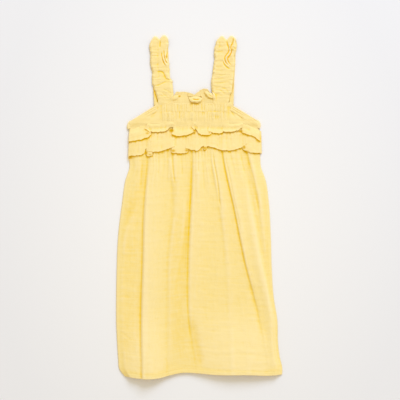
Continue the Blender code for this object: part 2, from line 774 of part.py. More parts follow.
def build_casing(name, casing):
    """An armhole's casing: along the front, round the underarm and along the back."""
    across = np.linspace(0.0, 1.0, CASING_COLUMNS + 1)[:, None]
    start = np.array(casing.start_outer) * (1 - across) + np.array(casing.start_inner) * across
    bulge = np.array(casing.end_middle) * 2 - (
        np.array(casing.end_outer) + np.array(casing.end_inner)) / 2
    end = (
        np.array(casing.end_outer) * (1 - across) ** 2
        + bulge * 2 * across * (1 - across)
        + np.array(casing.end_inner) * across**2
    )
    tangent = np.gradient(end, axis=0)
    outward = np.stack([tangent[:, 1], -tangent[:, 0]], axis=1)
    outward /= np.linalg.norm(outward, axis=1, keepdims=True)
    outward *= np.sign(np.sum(outward * (end - start), axis=1, keepdims=True))
    ridges = CASING_RIDGE_HEIGHT * np.sin(pi * CASING_RIDGES * across[:, 0]) ** 2
    rows = []
    for share in np.linspace(0.0, 1.0, CASING_FRONT_ROWS + 1):
        z = CASING_FRONT_Z + ridges * eased((1 - share) / CASING_END_SHARE)
        rows.append(np.column_stack([start + (end - start) * share, z]))
    half_z = (CASING_FRONT_Z - CASING_BACK_Z) / 2
    for angle in np.linspace(0.0, pi, CASING_FOLD_ROWS + 2)[1:-1]:
        z = CASING_BACK_Z + half_z + half_z * np.cos(angle)
        place = end + outward * half_z * np.sin(angle)
        rows.append(np.column_stack([place, np.full(len(place), z)]))
    for share in np.linspace(1.0, 0.0, CASING_BACK_ROWS + 1):
        place = start + (end - start) * share
        rows.append(np.column_stack([place, np.full(len(place), CASING_BACK_Z)]))
    outer, inner = offset_walls(np.array(rows), WALL)
    flatten_underside(outer, inner, CASING_BACK_ROWS + 1)
    wall_between(name, outer, inner)


# ---------------------------------------------------------------- the dress

build_skirt_back()
build_skirt_front()
build_bodice_back()
build_bodice_front()
build_ruffle("ruffle_lower", LOWER_SCALLOPS, lower_seam_y, lower_ruffle_top)
build_ruffle("ruffle_upper", UPPER_SCALLOPS, upper_seam_y, upper_ruffle_top)
build_strap("strap_left", LEFT_STRAP_SIDES, LEFT_STRAP_BACK_X, LEFT_STRAP_TOP)
build_strap("strap_right", RIGHT_STRAP_SIDES, RIGHT_STRAP_BACK_X, RIGHT_STRAP_TOP)
build_casing("armhole_casing_left", LEFT_CASING)
build_casing("armhole_casing_right", RIGHT_CASING)
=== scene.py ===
"""A child's sundress of crinkled cotton gauze, laid flat: its looks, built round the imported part.

Metres, +Z up, in the part's own frame. Tables are in millimetres, as a maker would note them.
"""

import logging
from dataclasses import dataclass, field
from enum import Enum
from math import pi
from typing import Callable, NamedTuple, Sequence

import bpy
import numpy as np
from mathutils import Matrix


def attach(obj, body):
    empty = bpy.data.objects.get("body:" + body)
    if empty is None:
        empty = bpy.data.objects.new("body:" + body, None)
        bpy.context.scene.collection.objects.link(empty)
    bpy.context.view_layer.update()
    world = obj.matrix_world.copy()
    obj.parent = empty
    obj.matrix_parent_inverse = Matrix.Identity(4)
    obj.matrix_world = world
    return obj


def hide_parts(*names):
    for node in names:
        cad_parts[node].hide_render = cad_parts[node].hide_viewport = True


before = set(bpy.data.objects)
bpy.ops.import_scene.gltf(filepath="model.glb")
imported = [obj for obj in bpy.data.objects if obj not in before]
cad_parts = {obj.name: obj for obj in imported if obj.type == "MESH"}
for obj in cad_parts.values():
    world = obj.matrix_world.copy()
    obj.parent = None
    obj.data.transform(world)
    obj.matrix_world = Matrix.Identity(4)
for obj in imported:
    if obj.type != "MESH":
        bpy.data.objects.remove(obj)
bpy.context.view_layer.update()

Array = np.ndarray
Pair = tuple[float, float]
Triple = tuple[float, float, float]
Colour = tuple[float, float, float, float]
log = logging.getLogger("sundress")

# ---------------------------- sizes shared by the pieces

MM = 0.001  # a millimetre, in metres
SHEET = 0.9  # the wall of a piece of gauze
GAP = 0.3  # between pieces that lie on each other, and at a seam
FRONT_LEVEL = 2.3  # where the front panels lie over the back ones
EDGE_ROUND = 0.45  # how far in from its edge a sheet is rounded
THINNEST_SHARE = 0.2  # of the wall, at the very edge
THREAD_PITCH = 0.00062  # of the weave, in metres
CREASE_TAPER = 0.22  # share of a crease over which each end fades
LAP_STEP = 1.6  # over which a lap rises beside its crease

BACK_NECK_Y = 221.7
WAIST_Y = 150.0
HEM_Y = -335.0
FRILL_ROOT_Y = 206.0  # where the neck frill is gathered on
FOLD_Y = (150.0, 100.0, 0.0, -110.0, -220.0, -335.0)
SKIRT_CUT = (400.0, 500.0)


class SideLine(NamedTuple):
    """How far the cloth reaches to each side at one height, in millimetres."""

    y: float
    left: float
    right: float


class EdgePoint(NamedTuple):
    """A point of an edge seen from above, in millimetres."""

    x: float
    y: float


class HemPoint(NamedTuple):
    """A point of a ruffle's rolled hem: its place from above and its lift, in millimetres."""

    x: float
    y: float
    lift: float


class Fold(NamedTuple):
    """A long fold, in millimetres.

    Its crest's x and its height stand at each of FOLD_Y, and it falls so far to the left and
    right. The shade says how much painted shade darkens the cloth along its foot, at each of FOLD_Y.
    """

    crest: tuple[float, ...]
    height: tuple[float, ...]
    left: float
    right: float
    shade: tuple[float, ...] = ()


class Crease(NamedTuple):
    """A listed crease, in millimetres.

    It has a path, how far it rises (a trough is below 0), its half widths left and right of
    the path, and how much higher the cloth right of it lies, over how far.
    """

    path: tuple[Pair, ...]
    rise: float
    left: float
    right: float
    lap: float = 0.0
    reach: float = 14.0


class Lobe(NamedTuple):
    """A stretch of an edge that is lifted or turned: its middle, half width and amount."""

    x: float
    half_width: float
    amount: float


def rows_of(kind: type, *rows: tuple) -> tuple:
    """A table of named rows, from plain ones."""
    return tuple(kind(*row) for row in rows)


def crease_rows(*rows: tuple) -> tuple[Crease, ...]:
    """A table of creases. A row with one half width has it on both sides."""
    return tuple(Crease(*row) if len(row) > 3 else Crease(*row, row[2]) for row in rows)


class Hand(Enum):
    """Which side of the dress a piece is on, seen from above."""

    LEFT = "left"
    RIGHT = "right"


# ---------------------------- curves and waves


def eased(t: Array | float) -> Array:
    """A rise from 0 to 1 that starts and ends level."""
    t = np.clip(t, 0.0, 1.0)
    return t * t * (3.0 - 2.0 * t)


def bell(t: Array | float) -> Array:
    """A hump of height 1 at 0 that fades by about 1 on each side."""
    return np.exp(-(t**2))


def lengths_along(path: Array) -> Array:
    """How far along a path each of its points is."""
    return np.concatenate([[0], np.cumsum(np.linalg.norm(np.diff(path, axis=0), axis=1))])


def smooth_through(stations: Sequence[float], values: Sequence[float], at: Array | float) -> Array:
    """A smooth curve through values at rising stations.

    Args:
        stations: Where the values are known, rising.
        values: The values there.
        at: Where the curve is read.

    Returns:
        The curve at those places, held level outside the stations.
    """
    stations, values = np.asarray(stations, float), np.asarray(values, float)
    slopes = np.gradient(values, stations)
    at = np.clip(at, stations[0], stations[-1])
    i = np.clip(np.searchsorted(stations, at, side="right") - 1, 0, len(stations) - 2)
    span = stations[i + 1] - stations[i]
    t = (at - stations[i]) / span
    return (
        (2 * t**3 - 3 * t**2 + 1) * values[i]
        + (t**3 - 2 * t**2 + t) * slopes[i] * span
        + (3 * t**2 - 2 * t**3) * values[i + 1]
        + (t**3 - t**2) * slopes[i + 1] * span
    )


def side_x(sides: Sequence[SideLine], y: Array | float) -> tuple[Array, Array]:
    """The left and right reach of a table of side lines at each height.

    Args:
        sides: The table.
        y: The heights.

    Returns:
        The x of the left and of the right side.
    """
    rows = sorted(sides)
    stations = [row.y for row in rows]
    left = smooth_through(stations, [row.left for row in rows], y)
    right = smooth_through(stations, [row.right for row in rows], y)
    return left, right


def edge_y(edge: Sequence[EdgePoint], x: Array) -> Array:
    """The height of an edge at each x."""
    return smooth_through([p.x for p in edge], [p.y for p in edge], x)


def between(a: Array, b: Array, c: Array, d: Array, t: Array | float) -> Array:
    """The point a share t of the way from b to c, on a smooth curve through four points."""
    return 0.5 * (
        2 * b + (c - a) * t + (2 * a - 5 * b + 4 * c - d) * t**2 + (3 * b - a - 3 * c + d) * t**3
    )


def spline(points: Sequence[Sequence[float]], steps: int) -> Array:
    """A smooth curve in space through points, with as many steps between each two.

    Args:
        points: The points.
        steps: How many steps lead from one to the next.

    Returns:
        The curve, as an array of points.
    """
    points = np.array(points, float)
    padded = np.concatenate([[2 * points[0] - points[1]], points, [2 * points[-1] - points[-2]]])
    a, b, c, d = (padded[i : len(padded) - 3 + i, None] for i in range(4))
    curve = between(a, b, c, d, np.linspace(0, 1, steps, endpoint=False)[None, :, None])
    return np.concatenate([curve.reshape(-1, points.shape[1]), points[-1:]])


def soft_noise(x: Array, y: Array, pitch: Pair, seed: int) -> Array:
    """Uneven soft waves between -1 and 1, about one for each pitch.

    Args:
        x, y: Where it is read.
        pitch: The size of one wave along x and y.
        seed: Picks the waves.

    Returns:
        The wave's height at each place.
    """
    u, v = x / pitch[0] + 500.0, y / pitch[1] + 500.0
    lattice = np.random.default_rng(seed).uniform(-1, 1, (211, 223))
    i, j = np.floor(u).astype(int), np.floor(v).astype(int)
    s, t = eased(u - i), eased(v - j)
    rows, columns = lattice.shape

    def corner(di: int, dj: int) -> Array:
        """The lattice's value at one corner of each place's cell."""
        return lattice[(j + dj) % rows, (i + di) % columns]

    low = corner(0, 0) * (1 - s) + corner(1, 0) * s
    high = corner(0, 1) * (1 - s) + corner(1, 1) * s
    return low * (1 - t) + high * t


def line_noise(x: Array, pitch: float, seed: int) -> Array:
    """Uneven soft waves between -1 and 1 along a line, about one for each pitch."""
    return soft_noise(x, x * 0, (pitch, 1.0), seed)


def lobes_at(lobes: Sequence[Lobe], x: Array, flank: float) -> Array:
    """The sum of some lobes at x, each a hump whose flanks take that share of its half.

    Args:
        lobes: The lobes.
        x: Where they are read.
        flank: The share of its half width over which each rises.

    Returns:
        Their height at each x.
    """
    total = np.zeros_like(x)
    for lobe in lobes:
        inward = 1.0 - np.abs(x - lobe.x) / lobe.half_width
        total = total + lobe.amount * eased(inward / flank)
    return total


def creased(creases: Sequence[Crease], x: Array, y: Array) -> Array:
    """The height that listed creases add to a piece.

    Args:
        creases: The creases.
        x, y: Places seen from above, in millimetres.

    Returns:
        The height at each place, in millimetres.
    """
    total = np.zeros_like(x)
    for crease in creases:
        path = spline(crease.path, 5)
        lengths = lengths_along(path)
        nearest = np.full_like(x, 1e9)
        side, along = np.zeros_like(x), np.zeros_like(x)
        for k, ((x0, y0), (x1, y1)) in enumerate(zip(path, path[1:])):
            dx, dy = x1 - x0, y1 - y0
            length = np.hypot(dx, dy)
            t = np.clip(((x - x0) * dx + (y - y0) * dy) / length**2, 0, 1)
            away = np.hypot(x - x0 - t * dx, y - y0 - t * dy)
            closer = away < nearest
            nearest = np.where(closer, away, nearest)
            turn = (x - x0) * dy - (y - y0) * dx
            side = np.where(closer, np.sign(turn), side)
            along = np.where(closer, (lengths[k] + t * length) / lengths[-1], along)
        taper = eased(np.minimum(along, 1 - along) / CREASE_TAPER)
        width = np.where(side > 0, crease.right, crease.left)
        total = total + crease.rise * bell(nearest / width) * taper
        if crease.lap:
            signed = nearest * side
            lap = eased(0.5 + signed / LAP_STEP) * eased(1 - signed / crease.reach)
            total = total + crease.lap * lap * taper
    return total


# ---------------------------- the lie of the cloth


class ReliefMap:
    """How high the cloth laid so far stands over a square net seen from above."""

    CELL = 1.0
    LOW = (-186.0, -362.0)
    SHAPE = (724, 372)

    def __init__(self) -> None:
        """Starts with the bare surface."""
        self.height = np.zeros(self.SHAPE)

    def lay(self, grid: Array) -> None:
        """Lays a grid of cloth points on the map, filling between its points.

        Args:
            grid: The points, in millimetres.
        """
        middles = [(grid[1:] + grid[:-1]) / 2, (grid[:, 1:] + grid[:, :-1]) / 2]
        middles.append((grid[1:, 1:] + grid[:-1, :-1]) / 2)
        for part in (grid, *middles):
            x, y, z = part.reshape(-1, 3).T
            i = np.clip(((x - self.LOW[0]) / self.CELL).round().astype(int), 0, self.SHAPE[1] - 1)
            j = np.clip(((y - self.LOW[1]) / self.CELL).round().astype(int), 0, self.SHAPE[0] - 1)
            np.maximum.at(self.height, (j, i), z)

    @staticmethod
    def shifts(height: Array, axis: int, reach: int) -> list[Array]:
        """The map, moved by each step up to so many cells either way along an axis."""
        return [np.roll(height, shift, axis) for shift in range(-reach, reach + 1)]

    def spread(self, height: Array, reach: int) -> Array:
        """The highest within so many cells of each cell."""
        for axis in (0, 1):
            height = np.max(self.shifts(height, axis, reach), axis=0)
        return height

    def blurred(self, height: Array, reach: int) -> Array:
        """The soft average within so many cells of each cell."""
        for axis in (0, 1, 0, 1):
            height = np.mean(self.shifts(height, axis, reach), axis=0)
        return height

    def laid(self, reach: int) -> Array:
        """The soft average of all that is laid."""
        return self.blurred(self.height, reach)

    def read(self, height: Array, x: Array, y: Array) -> Array:
        """A height map's value at places between its cells.

        Args:
            height: The map.
            x, y: The places, in millimetres.

        Returns:
            The map's value at each place.
        """
        u = np.clip((x - self.LOW[0]) / self.CELL, 0, self.SHAPE[1] - 1.001)
        v = np.clip((y - self.LOW[1]) / self.CELL, 0, self.SHAPE[0] - 1.001)
        i, j = np.floor(u).astype(int), np.floor(v).astype(int)
        s, t = u - i, v - j
        low = height[j, i] * (1 - s) + height[j, i + 1] * s
        high = height[j + 1, i] * (1 - s) + height[j + 1, i + 1] * s
        return low * (1 - t) + high * t

    def shelter(self, reach: int = 7, fall: float = 0.65) -> Array:
        """How high the cloth up the dress keeps a low light off each cell."""
        stack = [np.roll(self.height, -k, 0) - fall * k for k in range(1, reach + 1)]
        return np.max(stack, axis=0)

    def bed(self, reach: int) -> Array:
        """A smooth bed just over all that is laid, for the next piece to lie on."""
        soft = self.blurred(self.spread(self.height, reach + 1), reach)
        return np.maximum(soft, self.spread(self.height, 1))


relief = ReliefMap()


@dataclass
class ClothGrid:
    """A sheet of cloth as a grid of middle points, with its flat cut and its wall."""

    middle: Array
    flat: Pair
    wall: float | Array = SHEET
    rounding: float = EDGE_ROUND
    flip: bool = False
    cut_share: float = 1.0
    # Painted shade below 0 and painted highlight above 0, at each point.
    tone: Array | None = None
    # How much of the painted fold shade and crest highlight is held back at each point.
    calm: Array | None = None
    # The painted shade on the face that looks down.
    inside: float = 0.75
    object: bpy.types.Object | None = field(default=None, init=False)

    def normals(self) -> Array:
        """The way out of the cloth.

        Returns:
            The outward normal at each point.
        """
        along, across = np.gradient(self.middle, axis=0), np.gradient(self.middle, axis=1)
        normal = np.cross(along, across)
        normal /= np.linalg.norm(normal, axis=2, keepdims=True) + 1e-12
        return -normal if self.flip else normal

    def edge_share(self) -> Array:
        """How full the wall is, thinner close to the rounded edges.

        Returns:
            The share of the wall at each point.
        """
        down = np.linalg.norm(np.diff(self.middle, axis=0, prepend=self.middle[:1]), axis=2)
        over = np.linalg.norm(np.diff(self.middle, axis=1, prepend=self.middle[:, :1]), axis=2)
        down, over = np.cumsum(down, axis=0), np.cumsum(over, axis=1)
        near = np.minimum.reduce([down, down[-1:] - down, over, over[:, -1:] - over])
        inward = 1.0 - np.clip(near / self.rounding, 0, 1)
        return np.maximum(np.sqrt(np.clip(1.0 - inward**2, 0, 1)), THINNEST_SHARE)

    def quads(self) -> Array:
        """The faces of the outer side, the inner side and the rim between them.

        Returns:
            The numbers of the four corners of each face.
        """
        rows, columns = self.middle.shape[:2]
        count = rows * columns
        index = np.arange(count).reshape(rows, columns)
        corners = (index[:-1, :-1], index[1:, :-1], index[1:, 1:], index[:-1, 1:])
        outer = np.stack(corners, axis=-1).reshape(-1, 4)
        rim = np.concatenate([index[0, ::-1], index[1:, 0], index[-1, 1:], index[-2:0:-1, -1]])
        after = np.roll(rim, -1)
        wall = np.stack([after, rim, rim + count, after + count], axis=-1)
        quads = np.concatenate([outer, outer[:, ::-1] + count, wall])
        return quads[:, ::-1] if self.flip else quads

    def flat_places(self) -> Array:
        """Where each point lies on the flat cut.

        Returns:
            The places, in metres, for both sides.
        """
        rows, columns = self.middle.shape[:2]
        u = np.linspace(-0.5, 0.5, columns)[None, :] * self.flat[0] * np.ones((rows, 1))
        v = np.linspace(0.0, -1.0, rows)[:, None] * self.flat[1] * np.ones((1, columns))
        return np.tile(np.stack([u, v], axis=-1).reshape(-1, 2), (2, 1)) * MM

    def shell(self, name: str) -> "ClothGrid":
        """Builds the sheet as a closed thin wall, at the origin, with its cut as a UV map.

        Args:
            name: The piece's name.

        Returns:
            The grid, with its new object.
        """
        half = self.normals() * (self.edge_share() * self.wall / 2)[:, :, None]
        sides = [(self.middle + half).reshape(-1, 3), (self.middle - half).reshape(-1, 3)]
        points, quads = np.concatenate(sides) * MM, self.quads()
        mesh = bpy.data.meshes.new(name)
        mesh.vertices.add(len(points))
        mesh.vertices.foreach_set("co", points.ravel())
        mesh.loops.add(quads.size)
        mesh.loops.foreach_set("vertex_index", quads.ravel().astype(np.int32))
        mesh.polygons.add(len(quads))
        mesh.polygons.foreach_set("loop_start", np.arange(0, quads.size, 4, dtype=np.int32))
        mesh.update(calc_edges=True)
        mesh.polygons.foreach_set("use_smooth", np.ones(len(quads), dtype=bool))
        mesh.validate()
        places = self.flat_places()[quads.ravel()]
        mesh.uv_layers.new(name="cut").data.foreach_set("uv", places.ravel().astype(np.float32))
        self.object = bpy.data.objects.new(name, mesh)
        bpy.context.scene.collection.objects.link(self.object)
        return self

    def mark(self, name: str, values: Array, inside: float) -> None:
        """Writes a mark on each point, on its upper face, with another inside the cloth.

        Args:
            name: The attribute's name.
            values: The mark at each point of the grid, kept between 0 and 1.
            inside: The mark on the face that looks down.
        """
        values = np.clip(values, 0, 1)
        face_up = self.normals()[:, :, 2] > 0
        outer, inner = np.where(face_up, values, inside), np.where(face_up, inside, values)
        both = np.concatenate([outer.ravel(), inner.ravel()]).astype(np.float32)
        layer = self.object.data.attributes.new(name, "FLOAT", "POINT")
        layer.data.foreach_set("value", both)


def edged(count: int, length: float) -> Array:
    """Shares from 0 to 1, with a few close to each end for a rounded edge.

    Args:
        count: How many steps the rest takes.
        length: The real length, in millimetres.

    Returns:
        The shares, rising.
    """
    near = np.array([0.0, 0.06, 0.22, 0.5]) / length
    middle = np.linspace(1.1 / length, 1 - 1.1 / length, count)
    return np.concatenate([near, middle, 1 - near[::-1]])


# ---------------------------- finishes


def srgb(red: float, green: float, blue: float) -> Colour:
    """A screen colour from 0 to 255 as linear light, fully opaque.

    Args:
        red, green, blue: The colour on a screen.

    Returns:
        The same colour, for a shader.
    """
    values = [c / 255 for c in (red, green, blue)]
    linear = [c / 12.92 if c <= 0.04045 else ((c + 0.055) / 1.055) ** 2.4 for c in values]
    return (*linear, 1.0)


class NodeBook:
    """A node tree that is written node by node."""

    def __init__(self, tree: bpy.types.NodeTree) -> None:
        """Keeps the tree."""
        self.tree = tree

    def feed(self, target: bpy.types.NodeSocket, source: object) -> None:
        """Links a socket to its source, or sets it where the source is a plain value.

        Args:
            target: The input to feed.
            source: A socket or a value.
        """
        if isinstance(source, bpy.types.NodeSocket):
            self.tree.links.new(source, target)
        else:
            target.default_value = source

    def add(self, kind: str, inputs: dict[str | int, object] | None = None,
            **properties: object) -> bpy.types.Node:
        """Adds a node.

        Args:
            kind: The node's type.
            inputs: What feeds its inputs, by name or number: a socket or a value.
            **properties: Its own settings.

        Returns:
            The new node.
        """
        node = self.tree.nodes.new(kind)
        for name, value in properties.items():
            setattr(node, name, value)
        for name, source in (inputs or {}).items():
            self.feed(node.inputs[name], source)
        return node

    def math(self, operation: str, *terms: object, clamp: bool = False) -> bpy.types.NodeSocket:
        """A sum on numbers or sockets, and its result, kept from 0 to 1 with clamp."""
        inputs = dict(enumerate(terms))
        return self.add("ShaderNodeMath", inputs, operation=operation, use_clamp=clamp).outputs[0]

    def mix(self, factor: object, first: object, second: object) -> bpy.types.NodeSocket:
        """A blend of two colours, and its result."""
        inputs = {0: factor, 6: first, 7: second}
        return self.add("ShaderNodeMix", inputs, data_type="RGBA").outputs[2]


def new_material(name: str) -> tuple[bpy.types.Material, NodeBook, bpy.types.Node]:
    """Starts a material.

    Args:
        name: Its name.

    Returns:
        The material, the book of its nodes and its shader.
    """
    material = bpy.data.materials.new(name)
    material.use_nodes = True
    return material, NodeBook(material.node_tree), material.node_tree.nodes["Principled BSDF"]


def gauze_group() -> bpy.types.NodeTree:
    """The crinkle and weave of cotton gauze, over the flat cut of a piece.

    Returns:
        A group with a Cut input and Height (millimetres), Crinkle and Slub outputs.
    """
    group = bpy.data.node_groups.new("crinkled gauze", "ShaderNodeTree")
    sockets = group.interface
    sockets.new_socket("Cut", in_out="INPUT", socket_type="NodeSocketVector")
    for name, value in (("Crinkle height", 0.3), ("Weave height", 0.03)):
        socket = sockets.new_socket(name, in_out="INPUT", socket_type="NodeSocketFloat")
        socket.default_value = value
    for name in ("Height", "Crinkle", "Slub"):
        sockets.new_socket(name, in_out="OUTPUT", socket_type="NodeSocketFloat")
    book = NodeBook(group)
    start, end = book.add("NodeGroupInput").outputs, book.add("NodeGroupOutput").inputs

    def noise(across: float, along: float, detail: float) -> bpy.types.NodeSocket:
        """Noise over the cut.

        Args:
            across, along: How many waves a metre it has each way.
            detail: How fine it gets.

        Returns:
            The noise, from 0 to 1.
        """
        place = book.add("ShaderNodeMapping", {"Vector": start["Cut"], "Scale": (across, along, 1.0)})
        inputs = {"Vector": place.outputs[0], "Scale": 1.0, "Detail": detail}
        return book.add("ShaderNodeTexNoise", inputs).outputs["Fac"]

    layers = ((34, 240, 2.0, 0.42), (260, 42, 2.0, 0.30), (150, 130, 3.0, 0.28))
    ribs, bars, crumple = (book.math("MULTIPLY", noise(across, along, detail), part)
                           for across, along, detail, part in layers)
    crinkle = book.math("ADD", ribs, book.math("ADD", bars, crumple))
    split = book.add("ShaderNodeSeparateXYZ", {0: start["Cut"]})
    threads = [book.math("SINE", book.math("MULTIPLY", split.outputs[axis], 2 * pi / THREAD_PITCH))
               for axis in (0, 1)]
    raised = book.math("MULTIPLY", crinkle, start["Crinkle height"])
    woven = book.math("MULTIPLY", book.math("MULTIPLY", *threads), start["Weave height"])
    book.feed(end["Height"], book.math("ADD", raised, woven))
    book.feed(end["Crinkle"], crinkle)
    book.feed(end["Slub"], noise(9.0, 900.0, 2.0))
    return group


@dataclass(frozen=True)
class GauzeFinish:
    """Yellow double gauze: its own tone in the open, painted shade in and deep in a fold and at pinched
    spots, and a painted highlight along a crest.
    """

    open_tone: Colour = srgb(250, 224, 146)
    # Painted shade in creases, deeper painted shade, the darkest painted shade at pinched spots, and a
    # painted highlight on crests.
    painted_crease_tone: Colour = srgb(248, 211, 88)
    painted_deep_shade_tone: Colour = srgb(253, 209, 16)
    painted_pit_shade_tone: Colour = srgb(220, 170, 6)
    painted_highlight_tone: Colour = srgb(253, 232, 178)
    roughness: float = 0.92
    specular: float = 0.12
    sheen: float = 0.06
    sheen_roughness: float = 0.5
    crinkle_height: float = 0.55
    weave_height: float = 0.03
    painted_shade_share: float = 0.85
    painted_highlight_share: float = 0.7
    crinkle_fleck: float = 0.6
    slub_fleck: float = 0.3
    fold_gain: float = 1.7
    core_start: float = 0.6
    core_gain: float = 4.0

    def material(self, name: str, group: bpy.types.NodeTree) -> bpy.types.Material:
        """A material of this finish.

        Args:
            name: The material's name.
            group: The gauze's crinkle and weave.

        Returns:
            The new material.
        """
        material, book, shader = new_material(name)
        cut = book.add("ShaderNodeUVMap", uv_map="cut").outputs[0]
        heights = {"Crinkle height": self.crinkle_height, "Weave height": self.weave_height}
        gauze = book.add("ShaderNodeGroup", {"Cut": cut, **heights}, node_tree=group).outputs
        # The three marks paint shade in creases, troughs and cast shadows, a highlight on ridges, and
        # the darkest shade at pinched spots.
        painted_fold_shade, crest, painted_pit = (book.add("ShaderNodeAttribute", attribute_name=mark).outputs["Fac"]
                              for mark in ("painted_fold_shade", "crest", "painted_pit"))
        low = book.math("MULTIPLY", book.math("SUBTRACT", 0.5, gauze["Crinkle"]), self.crinkle_fleck)
        slub = book.math("MULTIPLY", book.math("SUBTRACT", gauze["Slub"], 0.5), self.slub_fleck)
        fleck = book.math("ADD", low, slub)
        deep = book.math("ADD", book.math("MULTIPLY", painted_fold_shade, self.painted_shade_share), fleck, clamp=True)
        pale = book.math("SUBTRACT", book.math("MULTIPLY", crest, self.painted_highlight_share), fleck, clamp=True)
        fold = book.math("MULTIPLY", deep, self.fold_gain, clamp=True)
        past = book.math("SUBTRACT", deep, self.core_start)
        core = book.math("MULTIPLY", past, self.core_gain, clamp=True)
        # The cloth's own tone with painted shade in folds and deep folds, then a painted highlight on
        # crests and the darkest painted shade at pinched spots.
        tone = book.mix(core, book.mix(fold, self.open_tone, self.painted_crease_tone), self.painted_deep_shade_tone)
        tone = book.mix(painted_pit, book.mix(pale, tone, self.painted_highlight_tone), self.painted_pit_shade_tone)
        bump = book.add("ShaderNodeBump", {"Strength": 1.0, "Distance": MM, "Height": gauze["Height"]})
        book.feed(shader.inputs["Base Color"], tone)
        book.feed(shader.inputs["Normal"], bump.outputs[0])
        shader.inputs["Roughness"].default_value = self.roughness
        shader.inputs["Specular IOR Level"].default_value = self.specular
        shader.inputs["Sheen Weight"].default_value = self.sheen
        shader.inputs["Sheen Roughness"].default_value = self.sheen_roughness
        return material


@dataclass(frozen=True)
class ThreadFinish:
    """Sewing thread a shade paler than the gauze."""

    tone: Colour = srgb(254, 232, 160)
    shade: Colour = srgb(250, 220, 120)
    roughness: float = 0.7
    twist_scale: float = 1800.0
    twist_height: float = 0.1

    def material(self, name: str) -> bpy.types.Material:
        """A material of this finish, with a fine twist along the thread.

        Args:
            name: The material's name.

        Returns:
            The new material.
        """
        material, book, shader = new_material(name)
        place = book.add("ShaderNodeTexCoord").outputs["Object"]
        twist = book.add("ShaderNodeTexNoise", {"Scale": self.twist_scale, "Vector": place})
        fibre = twist.outputs["Fac"]
        bump = book.add("ShaderNodeBump", {"Distance": self.twist_height * MM, "Height": fibre})
        book.feed(shader.inputs["Base Color"], book.mix(fibre, self.tone, self.shade))
        book.feed(shader.inputs["Normal"], bump.outputs[0])
        shader.inputs["Roughness"].default_value = self.roughness
        return material


# ---------------------------- pieces of cloth


